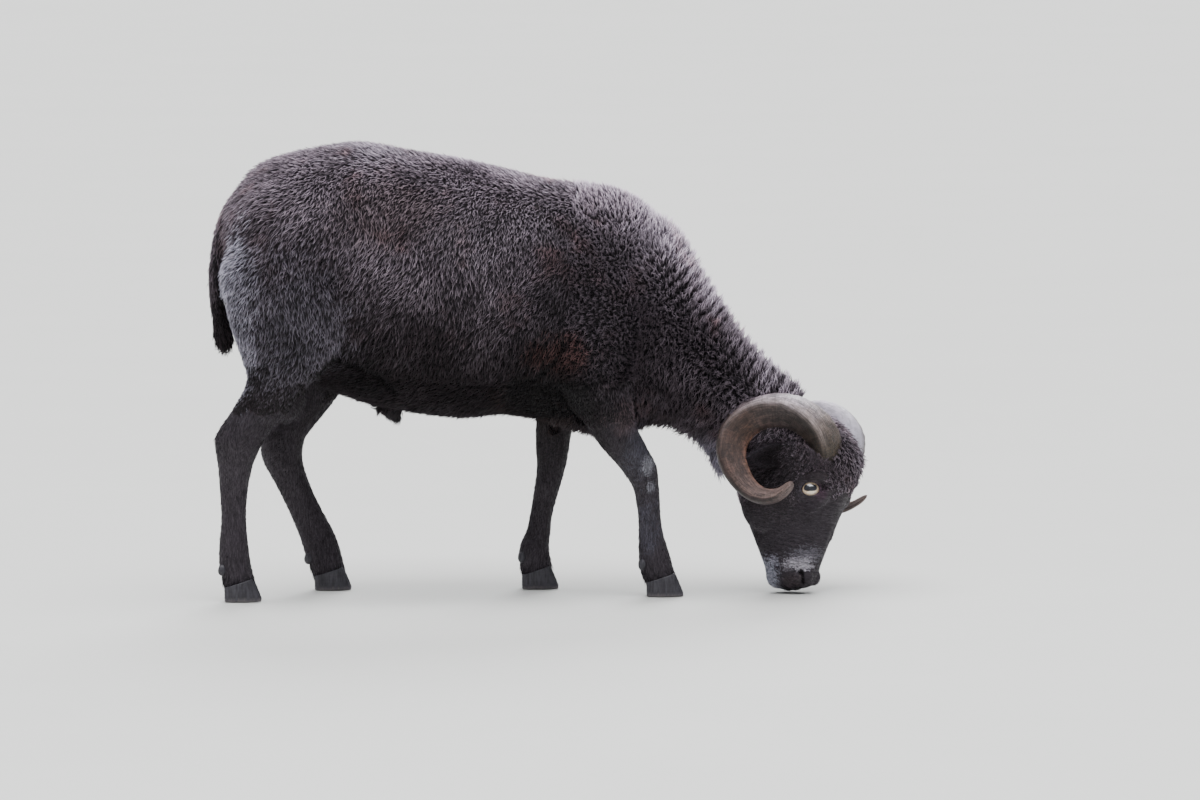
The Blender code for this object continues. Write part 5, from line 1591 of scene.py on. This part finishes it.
@made_once
def horn_material():
    material, tree, shader = new_material("ram_horn", 0.45, Specular_IOR_Level=0.40)
    share = attribute(tree, "share")
    coil = attribute(tree, "coil", "Vector")
    wander = maths(tree, "MULTIPLY_ADD", noise(tree, coil, 90, 3, 0.6), 0.12, -0.06)
    lines = drawn_noise(tree, coil, (480, 50, 50), 4, 0.65, 1.0)
    strands = drawn_noise(tree, coil, (60, 800, 800), 4, 0.65, 0.8)
    worn = drawn_noise(tree, coil, (90, 220, 220), 5, 0.7, 0.8)
    grain = noise(tree, coil, 900, 4, 0.7)
    along = maths(tree, "ADD", share, wander)
    inner = times(tree, attribute(tree, "inner"), 0.94)
    colour = mixed(tree, inner, ramp(tree, along, HORN_COLOURS), ramp(tree, along, INNER_COLOURS))
    edge = times(tree, attribute(tree, "edge"), eased(tree, worn, 0.34, 0.60, 0.25, 0.85))
    colour = mixed(tree, edge, colour, rgba(HORN_EDGE))
    shade = eased(tree, lines, 0.34, 0.64, 0.70, 1.16)
    shade = times(tree, shade, eased(tree, strands, 0.36, 0.64, 0.62, 1.28))
    colour = tinted(tree, colour, times(tree, shade, eased(tree, worn, 0.38, 0.62, 0.50, 1.50)))
    specks = times(tree, eased(tree, grain, 0.56, 0.64), eased(tree, share, 0.18, 0.02))
    cracks = times(tree, eased(tree, lines, 0.36, 0.29), eased(tree, share, 0.26, 0.44))
    cracks = times(tree, cracks, eased(tree, share, 0.80, 0.66))
    # Painted sky light: the far horn alone is turned pale bluish over the part nearer its root
    pale = times(tree, attribute(tree, "pale"), eased(tree, worn, 0.32, 0.58, 0.66, 0.96))
    keel = times(tree, attribute(tree, "keel"), eased(tree, strands, 0.34, 0.60, 0.25, 0.85))
    over = (
        (pale, HORN_PALE),
        (times(tree, specks, 0.6), HORN_SPECKS),
        (times(tree, cracks, 0.75), HORN_CRACKS),
        (keel, HORN_KEEL_WORN),
    )
    for amount, tint in over:
        colour = mixed(tree, amount, colour, rgba(tint))
    rough = times(tree, grain, eased(tree, share, 0.26, 0.0, 0.25, 1.3))
    height = maths(tree, "ADD", maths(tree, "ADD", rough, lines), times(tree, strands, 0.45))
    roughness = eased(tree, worn, 0.3, 0.7, 0.34, 0.62)
    dress(tree, shader, (height, 0.9, 0.0015), Base_Color=colour, Roughness=roughness)
    return material


@made_once
def hoof_material():
    given = bpy.context.scene.ram_colours
    material, tree, shader = new_material("ram_hoof", 0.5)
    place = object_place(tree)
    streaks = drawn_noise(tree, place, (420, 420, 60), 4, 0.6)
    rings = drawn_noise(tree, place, (60, 60, 620), 3, 0.6)
    colour = mixed(tree, eased(tree, streaks, 0.35, 0.68, 0.0, 0.8), rgba(given.hoof), rgba(HOOF_STREAKS))
    level = maths(tree, "ADD", split(tree, place)[2], maths(tree, "MULTIPLY_ADD", streaks, 0.012, -0.006))
    colour = mixed(tree, eased(tree, level, 0.005, -0.001, 0.0, 0.50), colour, rgba(HOOF_WORN))
    height = maths(tree, "ADD", rings, times(tree, streaks, 0.6))
    roughness = eased(tree, rings, 0.3, 0.7, 0.42, 0.66)
    dress(tree, shader, (height, 0.6, 0.0008), Base_Color=colour, Roughness=roughness)
    return material


@made_once
def eye_material():
    """Iris, white and a wide pupil, from how far each point is turned from the look of the eye."""
    given = bpy.context.scene.ram_colours
    looks = {"Coat_Weight": 1.0, "Coat_Roughness": 0.02, "Coat_IOR": 2.1}
    material, tree, shader = new_material("ram_eye", 0.30, **looks)
    gaze = split(tree, attribute(tree, "gaze", "Vector"))
    flat = joined(tree, gaze[0], gaze[1], 0.0)
    reach = node(tree, "VectorMath", {0: flat}, operation="LENGTH").outputs["Value"]
    spokes = noise(tree, node(tree, "VectorMath", {0: flat}, operation="NORMALIZE").outputs[0], 9, 4, 0.7)
    colour = mixed(tree, eased(tree, spokes, 0.35, 0.65), rgba(given.iris), rgba(IRIS_LIGHT))
    colour = mixed(tree, eased(tree, reach, 0.70, 0.80, 0.0, 0.80), colour, rgba(IRIS_RIM))
    colour = mixed(tree, eased(tree, reach, 0.79, 0.84), colour, rgba(EYE_WHITE))
    raised = maths(tree, "SUBTRACT", gaze[1], PUPIL_RISE)
    spans = []
    for way, half in ((gaze[0], PUPIL_HALF_LENGTH), (raised, PUPIL_HALF_HEIGHT)):
        share = maths(tree, "DIVIDE", maths(tree, "ABSOLUTE", way), half)
        spans.append(maths(tree, "POWER", share, 2.8))
    pupil = eased(tree, maths(tree, "ADD", *spans), 1.35, 0.85)
    dress(tree, shader, (spokes, 0.15, 0.0004), Base_Color=mixed(tree, pupil, colour, rgba(PUPIL)))
    return material


@made_once
def floor_material():
    given = bpy.context.scene.ram_colours
    material, tree, shader = new_material("pale_floor", 0.85)
    mottle = noise(tree, object_place(tree), 3.0, 5, 0.6)
    darker = rgba([channel * 0.94 for channel in given.floor])
    tree.links.new(mixed(tree, mottle, darker, rgba(given.floor)), shader.inputs["Base Color"])
    return material


def horn_station(turned):
    """Middle and half thickness of the horn at this turn of its coil, in the head's directions."""
    pinch = math.exp(-(((turned - HORN_PINCH_AT) / HORN_PINCH_WIDTH) ** 2))
    share = turned / HORN_TURN
    early = max(0, HORN_DIVE_UNTIL - turned) / (HORN_DIVE_UNTIL - HORN_START)
    radius = HORN_COIL_RADIUS - HORN_PINCH * pinch + HORN_FLARE * share * share - HORN_DIVE * early**2
    along_coil = clamped(turned / math.radians(210))
    late = max(0, turned - HORN_FLARE_FROM) / (HORN_TURN - HORN_FLARE_FROM)
    out = HORN_ROOT_OUT + HORN_COIL_OUT * (1 - (1 - along_coil) ** 1.25) + HORN_TIP_OUT * late * late
    out -= HORN_DIVE * 0.2 * early**2
    worn = max(0, turned - HORN_TAPER_FROM) / (HORN_TURN - HORN_TAPER_FROM)
    thickness = HORN_TIP_THICKNESS + (HORN_THICKNESS - HORN_TIP_THICKNESS) * (1 - worn**1.4)
    forward = HORN_CENTRE_FORWARD + radius * math.cos(turned)
    up = HORN_CENTRE_UP + radius * math.sin(turned)
    return Vector((forward, up, out)), thickness


def horn_frame(turned):
    """Middle and half thickness of the horn at this turn, and the ways along it and to its coil's middle."""
    middle, thickness = horn_station(turned)
    along = (horn_station(turned + HORN_PROBE)[0] - horn_station(turned - HORN_PROBE)[0]).normalized()
    inward = square_to(Vector((HORN_CENTRE_FORWARD, HORN_CENTRE_UP, middle.z)) - middle, along)
    return middle, thickness, along, inward


def horn(name, side):
    """A tapering coil with a rounded three-sided section, a keel along its inside and growth rings."""
    sections, marks_by_name = [], {label: [] for label in HORN_ATTRIBUTES}
    walked, last = 0.0, horn_station(HORN_START)[0]
    for index in range(HORN_RINGS + 1):
        share = index / HORN_RINGS
        middle, thickness, along, inward = horn_frame(HORN_START + (HORN_TURN - HORN_START) * share)
        walked += (middle - last).length
        last = middle
        outward = along.cross(inward)
        to_end = (1 - share) * HORN_RINGS / HORN_END_RINGS
        rounding = math.sqrt(max(0.0, 1 - (1 - min(1.0, to_end)) ** 2))
        thickness *= 0.12 + 0.88 * rounding
        thickness *= 1 - HORN_ROOT_NARROWED * max(0.0, 1 - share / HORN_ROOT_SHARE) ** 2
        if side < 0:
            thickness *= 1 - FAR_TIP_WORN * min(1.0, max(0.0, share - 0.80) / 0.14)
        ringed = math.sin(math.tau * walked / GROWTH_RING_SPACING + 1.5 * math.sin(walked * 190))
        depth = GROWTH_RING_DEPTH * max(0.0, 1 - share * 1.1)
        points = []
        for corner in range(HORN_SIDES):
            around = math.tau * corner / HORN_SIDES
            off_keel = around - HORN_KEEL_AT
            keel = math.exp(-((math.atan2(math.sin(off_keel), math.cos(off_keel)) / HORN_KEEL_WIDTH) ** 2))
            ridged = HORN_RIDGE * math.cos(3 * off_keel) + HORN_KEEL * keel * (1 - share)
            shape = 1 + ridged * min(1.0, share / 0.08)
            lumps = HORN_LUMPS * math.sin(around * 5 + walked * 310) * math.sin(walked * 170 + around * 2)
            reach = thickness * shape + (ringed * depth + lumps * (1 - share)) * rounding
            local = middle + inward * (math.cos(around) * reach) + outward * (math.sin(around) * reach)
            points.append(head_point(*local, side))
            from_edge = 1 - math.cos(around - HORN_EDGE_AT)
            away = min(1.0, max(0.0, 0.75 - math.sin(around)) / 0.75)
            found = {
                "share": share,
                "inner": clamped((math.cos(around - HORN_INNER_AT) - 0.20) / 0.16),
                "edge": math.exp(-from_edge / 0.04) * min(1.0, max(0.0, share - 0.38) * 12),
                "keel": keel * max(0.0, 1 - share * 1.6) * min(1.0, max(0.0, share - 0.07) * 10),
                # Painted sky light, on the far horn only
                "pale": away * min(1.0, share * 14) * max(0.0, 1 - share * 1.7) * (side < 0),
                "coil": (walked, math.cos(around) * HORN_THICKNESS, math.sin(around) * HORN_THICKNESS),
            }
            for label, value in found.items():
                marks_by_name[label].append(value)
        sections.append(points)
    obj = lofted(name, sections)
    for label, values in marks_by_name.items():
        set_attribute(obj.data, label, values)
    return obj


def claw(node_name):
    """One half of a hoof in its node's place: flat sole, upright flat inner wall, raked and rounded toe."""
    low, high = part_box(node_name)
    heel, middle_y = low.x, (low.y + high.y) / 2
    other = node_name.replace("outer", "*").replace("inner", "outer").replace("*", "inner")
    other_low, other_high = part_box(other)
    inner = 1 if (other_low.y + other_high.y) / 2 > middle_y else -1
    half_width = (high.y - low.y) / 1.8
    y = middle_y - inner * (half_width * 0.1)
    sections = []
    for step in range(CLAW_LEVELS + 1):
        level = step / CLAW_LEVELS
        front = heel + CLAW_LENGTH - TOE_RAKE * level
        middle, half = (front + heel) / 2, (front - heel) / 2
        worn = 1 - 0.05 * max(0.0, 1 - level * 9) ** 2
        ringed = 1 + 0.008 * math.sin(level * 26)
        points = []
        for index in range(CLAW_SIDES):
            turn = math.tau * index / CLAW_SIDES
            x = math.cos(turn)
            height = coronet_height(middle + half * x, heel) * level
            narrow = 1 - 0.42 * max(0, x) ** 2
            reach = powered(math.sin(turn), 0.8) * narrow
            flat = 0.80 if math.sin(turn) * inner > 0 else 1
            width = half_width * (1 - 0.08 * level)
            spread = worn * ringed
            across = reach * flat * width * spread
            points.append(Vector((middle + half * x * spread, y + across, low.z + height)))
        sections.append(points)
    return lofted(node_name.replace("hoof", "claw"), sections)


def dewclaw_knobs(name, stations_down):
    """Two small horny knobs behind the fetlock."""
    near = min(stations_down, key=lambda s: abs(s.z - DEWCLAW_HEIGHT))
    knobs = []
    for side in (-1, 1):
        centre = Vector((near.back + DEWCLAW_AHEAD, near.y + side * DEWCLAW_OUT, DEWCLAW_HEIGHT))
        radius = DEWCLAW_RADIUS
        axes = (Vector((radius, 0, -0.002)), Vector((0, radius, 0)), Vector((0.002, 0, radius * 1.35)))
        knobs.append(ellipsoid(name, centre, axes, 20, 14))
    return merged(name, knobs)


def length_property(name, description, default):
    return bpy.props.FloatProperty(name=name, description=description, default=default, unit="LENGTH")


def colour_property(name, description, default):
    look = {"description": description, "default": default, "subtype": "COLOR"}
    return bpy.props.FloatVectorProperty(name=name, **look)


class RamSizes(bpy.types.PropertyGroup):
    fleece_length: length_property("Fleece length", "Length of the wool on the trunk", 0.0120)
    neck_length: length_property("Neck wool length", "Length of the wool on the neck", 0.0165)
    ruff_length: length_property("Ruff length", "Length of the hair under the throat", 0.030)
    hair_length: length_property("Short hair length", "Length of the hair on the legs", 0.0052)
    face_length: length_property("Face hair length", "Length of the hair on the face", 0.0036)
    spacing: length_property("Wool spacing", "Distance between wisps of wool", 0.0022)


class RamColours(bpy.types.PropertyGroup):
    fleece_root: colour_property("Fleece roots", "Colour deep in the wool", (0.006, 0.004, 0.005))
    fleece_tip: colour_property("Fleece tips", "Colour of the tips low down", (0.026, 0.018, 0.021))
    bleached_tip: colour_property("Bleached tips", "Colour of the tips on the back", (0.450, 0.372, 0.440))
    hair_root: colour_property("Short hair roots", "Colour under the short hair", (0.005, 0.004, 0.005))
    hair_tip: colour_property("Short hair tips", "Colour of the short hair", (0.062, 0.050, 0.062))
    hoof: colour_property("Hoof", "Colour of the claws", (0.022, 0.020, 0.026))
    iris: colour_property("Iris", "Colour of the iris", (0.80, 0.58, 0.36))
    floor: colour_property("Floor", "Colour of the floor", (0.70, 0.71, 0.68))


class RAM_OT_skin(bpy.types.Operator):
    """Build one skin for all the flesh"""

    bl_idname = "ram.skin"
    bl_label = "Skin"

    def execute(self, context):
        pieces = [trunk_flesh(), neck_flesh()]
        pieces += [limb_flesh(name, stations) for name, stations in LIMBS.items()]
        pieces.append(hanging_flesh("scrotum", SCROTUM, SHORT_HAIR_DEPTH))
        pieces.append(hanging_flesh("sheath", SHEATH, SHORT_HAIR_DEPTH))
        pieces.append(hanging_flesh("tail", TAIL, TAIL_INSET))
        body = grown_together("ram_skin", pieces, BODY_GRAIN, BODY_SMOOTHING)
        skin = combined(body, "UNION", [head_flesh()])
        skin = combined(skin, "DIFFERENCE", [coronet_block(foot) for foot in FEET.values()])
        skin.data.calc_loop_triangles()
        modified(skin, "thin", "DECIMATE", ratio=min(1.0, SKIN_TRIANGLES / len(skin.data.loop_triangles)))
        skin = applied(skin, "ram_skin")
        parts = parts_of(vertex_places(skin.data))
        set_attribute(skin.data, "short", short_haired(parts))
        set_attribute(skin.data, "face", np.isin(parts, HEAD_PARTS))
        finished(skin, skin_material(), FLESH)
        return {"FINISHED"}


class RAM_OT_eyes(bpy.types.Operator):
    """Build both eyes, with a horizontal pupil"""

    bl_idname = "ram.eyes"
    bl_label = "Eyes"

    def execute(self, context):
        for word, side in SIDES:
            obj = eyeball(f"ram_eye_{word}", side)
            look, long_way, high_way = (np.array(way) for way in eye_directions(side))
            local = (vertex_places(obj.data) - np.array(eye_centre(side))) / EYE_RADIUS
            gaze = [local @ long_way, local @ high_way, local @ look]
            set_attribute(obj.data, "gaze", np.stack(gaze, axis=1))
            finished(obj, eye_material(), [f"eye_{word}"])
        return {"FINISHED"}


class RAM_OT_horns(bpy.types.Operator):
    """Build both horns with their growth rings"""

    bl_idname = "ram.horns"
    bl_label = "Horns"

    def execute(self, context):
        for word, side in SIDES:
            finished(horn(f"ram_horn_{word}", side), horn_material(), [f"horn_{word}"])
        return {"FINISHED"}


class RAM_OT_hooves(bpy.types.Operator):
    """Build the claws and dewclaws of the feet"""

    bl_idname = "ram.hooves"
    bl_label = "Hooves"

    def execute(self, context):
        for name in sorted(frame["nodes"]):
            if name.startswith("hoof_"):
                finished(claw(name), hoof_material(), [name])
        for name, stations in LIMBS.items():
            finished(dewclaw_knobs(f"dewclaws_{name}", stations), hoof_material())
        return {"FINISHED"}


def in_bands(name, roots, bands, kind, dice):
    """One piece of coat for each band along x on each side of the ram."""
    x, y, _ = roots.points.T
    for number, (low, high) in enumerate(zip(bands, bands[1:]), 1):
        for word, side in (("right", y <= 0), ("left", y > 0)):
            tufted(f"{name}_{number}_{word}", picked(roots, side & (x >= low) & (x < high)), kind, dice)


class RAM_OT_fleece(bpy.types.Operator):
    """Grow the wool of the trunk, thighs and neck"""

    bl_idname = "ram.fleece"
    bl_label = "Fleece"

    def execute(self, context):
        sizes = context.scene.ram_sizes
        trunk = Kind(sizes.spacing, sizes.fleece_length, 0.00080, 0.64, 0.22, 0.0010, 0.8, 0.40, 2)
        thigh = trunk._replace(length=sizes.fleece_length * 0.85, rise=0.45, droop=0.12)
        neck = Kind(sizes.spacing * 0.84, sizes.neck_length, 0.00080, 0.86, 0.54, 0.0022, 0.9, 0.75, 2)
        velvet = Clumps(0.0042, (0, 0, 1), 0.55, 0.45)
        pebbles = Clumps(0.0060, NAPE_ACROSS, 0.80, 1.0)
        roots, dice = grown([BARREL], trunk, 21, velvet)
        in_bands("fleece", roots, FLEECE_BANDS, trunk, dice)
        roots, dice = grown([THIGH_WOOL], thigh, 22, velvet)
        in_bands("thigh_wool", roots, WHOLE_BAND, thigh, dice)
        roots, dice = grown([NECK_WOOL], neck, 23, pebbles)
        in_bands("neck_wool", roots, NECK_BANDS, neck, dice)
        return {"FINISHED"}


class RAM_OT_short_hair(bpy.types.Operator):
    """Grow the short hair of the legs, face and ears"""

    bl_idname = "ram.short_hair"
    bl_label = "Short hair"

    def execute(self, context):
        sizes = context.scene.ram_sizes
        legs = Kind(0.0024, sizes.hair_length, 0.00042, 0.17, 0.04, 0, 0, 0, 1)
        face = Kind(0.0018, sizes.face_length, 0.00034, 0.18, 0.05, 0, 0, 0, 1)
        under = legs._replace(length=sizes.hair_length * 1.4, rise=0.3)
        ears = face._replace(spacing=0.0014, length=sizes.face_length * 1.9, rise=0.42, droop=0.20)
        kinds = {
            "leg_hair": (LEG_HAIR, legs),
            "under_hair": (SKIN_HAIR, under),
            "face_hair": (FACE_HAIR, face),
            "ear_hair": (EAR_HAIR, ears),
        }
        for seed, (name, (part, kind)) in enumerate(kinds.items()):
            roots, dice = grown([part], kind, 60 + seed)
            tufted(name, roots, kind, dice)
        return {"FINISHED"}


class RAM_OT_long_hair(bpy.types.Operator):
    """Grow the topknot, the wool round the horns, the throat's ruff and the tail's tuft"""

    bl_idname = "ram.long_hair"
    bl_label = "Long hair"

    def execute(self, context):
        sizes = context.scene.ram_sizes
        crown = Kind(0.0021, 0.0130, 0.00085, 0.66, 0.25, 0.0018, 1.2, 0.35, 3)
        coil = Kind(0.0020, 0.0075, 0.00060, 0.42, 0.12, 0.0014, 1.3, 0.40, 3)
        tail = Kind(0.0020, 0.0095, 0.00075, 0.38, 0.10, 0.0009, 0.8, 0.30, 2)
        base = Kind(0.0017, 0.0085, 0.00060, 0.50, 0.16, 0.0014, 1.0, 0.35, 2)
        curls = Clumps(0.0060, (0, 0, 1), 1.0, 0.8)
        kinds = {
            "topknot": (CROWN_WOOL, crown, "fleece"),
            "cheek_wool": (COIL_WOOL, coil, "fleece"),
            "tail_wool": (TAIL_WOOL, tail, "short_hair"),
        }
        for seed, (name, (part, kind, slot)) in enumerate(kinds.items()):
            roots, dice = grown([part], kind, 80 + seed, curls)
            tufted(name, roots, kind, dice)
        for word, side in SIDES:
            roots, dice = round_horn(side)
            tufted(f"horn_base_wool_{word}", roots, base, dice)
        ruff = Kind(0.0030, sizes.ruff_length, 0.00120, 0.50, 0.10, 0.0020, 0.8, 0.55, 3)
        locks = Clumps(0.0075, (0, 0, 1), 1.0, 0.6)
        roots, dice = grown([NECK_WOOL, FACE_HAIR, COIL_WOOL], ruff, 90, locks, under_throat)
        roots = picked(roots, roots.normals @ THROAT_FACING > 0.15)
        lies = unit(RUFF_LIE - roots.normals * (roots.normals @ RUFF_LIE)[:, None])
        tufted("ruff", roots._replace(lies=lies), ruff, dice)
        return {"FINISHED"}


def round_horn(side):
    """Roots of wool that rises over the lowest part of a horn, highest on the inside of its coil."""
    dice = np.random.default_rng(70 + side)
    rows = []
    for _ in range(HORN_BASE_WISPS):
        around = dice.uniform(0, math.tau)
        reach = HORN_BASE_LOW + HORN_BASE_HIGH * (0.5 + 0.5 * math.cos(around - 0.4))
        middle, thickness, along, inward = horn_frame(HORN_START + reach * dice.uniform(-0.15, 1.0))
        facing = inward * math.cos(around) + along.cross(inward) * math.sin(around)
        place = head_point(*(middle + facing * (thickness * 0.98)), side)
        rows.append((place, head_direction(*facing, side), head_direction(*along, side)))
    points, normals, lies = np.array(rows).transpose(1, 0, 2)
    tone = np.clip(0.30 + 0.2 * ripple(points, 300, 0.5) + dice.normal(0, 0.15, len(points)), 0, 1)
    length = dice.uniform(0.75, 1.1, len(points))
    return Roots(points, normals, lies, length, tone, np.zeros_like(points)), dice


def under_throat(points):
    return (points[:, 0] > 0.165) & (points[:, 2] < 0.185) & (np.abs(past_seam(points) + 0.004) < 0.026)


class RAM_OT_stage(bpy.types.Operator):
    """Set the floor, the soft studio light and the camera"""

    bl_idname = "ram.stage"
    bl_label = "Stage"

    def execute(self, context):
        form = bmesh.new()
        bmesh.ops.create_circle(form, cap_ends=True, segments=96, radius=FLOOR_RADIUS)
        bmesh.ops.translate(form, verts=form.verts, vec=(0, 0, -FLOOR_DROP))
        floor = mesh_object("floor", form)
        floor.data.materials.append(floor_material())
        world = bpy.data.worlds.new("studio")
        world.use_nodes = True
        sky = world.node_tree.nodes["Background"]
        sky.inputs["Color"].default_value = rgba(SKY)
        sky.inputs["Strength"].default_value = SKY_STRENGTH
        context.scene.world = world
        for name, (way, strength, colour, spread) in SUNS.items():
            sun = self.light(name, "SUN", strength, colour, Vector(way))
            sun.data.angle = math.radians(spread)
        over = Vector(STRIP_PLACE) - CAMERA_AIM
        strip = self.light("front_strip", "AREA", STRIP_POWER, STRIP_COLOUR, over)
        strip.data.shape = "RECTANGLE"
        strip.data.size, strip.data.size_y = STRIP_SIZE
        strip.location = STRIP_PLACE
        back = Vector((0, -math.cos(CAMERA_ELEVATION), math.sin(CAMERA_ELEVATION)))
        lens = bpy.data.cameras.new("camera")
        lens.sensor_width = SENSOR
        lens.lens = SENSOR * CAMERA_DISTANCE / FRAME_WIDTH
        lens.clip_end = 200
        camera = placed("camera", lens)
        turned = (-back).to_track_quat("-Z", "Y").to_matrix() @ Matrix.Rotation(CAMERA_ROLL, 3, "Z")
        camera.matrix_world = Matrix.Translation(CAMERA_AIM + back * CAMERA_DISTANCE) @ turned.to_4x4()
        context.scene.camera = camera
        return {"FINISHED"}

    def light(self, name, kind, strength, colour, way):
        """A light that shines from this way."""
        data = bpy.data.lights.new(name, kind)
        data.energy = strength
        data.color = colour
        obj = placed(name, data)
        obj.rotation_euler = way.to_track_quat("Z", "Y").to_euler()
        return obj


class RAM_PT_panel(bpy.types.Panel):
    """The ram's pieces, in the order in which they are made"""

    bl_idname = "RAM_PT_panel"
    bl_label = "Ouessant ram"
    bl_space_type = "VIEW_3D"
    bl_region_type = "UI"
    bl_category = "Ram"

    def draw(self, context):
        for operator in OPERATORS:
            self.layout.operator(operator.bl_idname)
        for group in (context.scene.ram_sizes, context.scene.ram_colours):
            for name in group.__annotations__:
                self.layout.prop(group, name)


OPERATORS = (
    RAM_OT_skin,
    RAM_OT_eyes,
    RAM_OT_horns,
    RAM_OT_hooves,
    RAM_OT_fleece,
    RAM_OT_short_hair,
    RAM_OT_long_hair,
    RAM_OT_stage,
)
CLASSES = (RamSizes, RamColours, *OPERATORS, RAM_PT_panel)


def register():
    for cls in CLASSES:
        bpy.utils.register_class(cls)
    bpy.types.Scene.ram_sizes = bpy.props.PointerProperty(type=RamSizes)
    bpy.types.Scene.ram_colours = bpy.props.PointerProperty(type=RamColours)


def unregister():
    del bpy.types.Scene.ram_sizes
    del bpy.types.Scene.ram_colours
    for cls in reversed(CLASSES):
        bpy.utils.unregister_class(cls)


def main():
    register()
    bpy.ops.ram.skin()
    bpy.ops.ram.eyes()
    bpy.ops.ram.horns()
    bpy.ops.ram.hooves()
    bpy.ops.ram.fleece()
    bpy.ops.ram.short_hair()
    bpy.ops.ram.long_hair()
    bpy.ops.ram.stage()


if __name__ == "__main__":
    main()
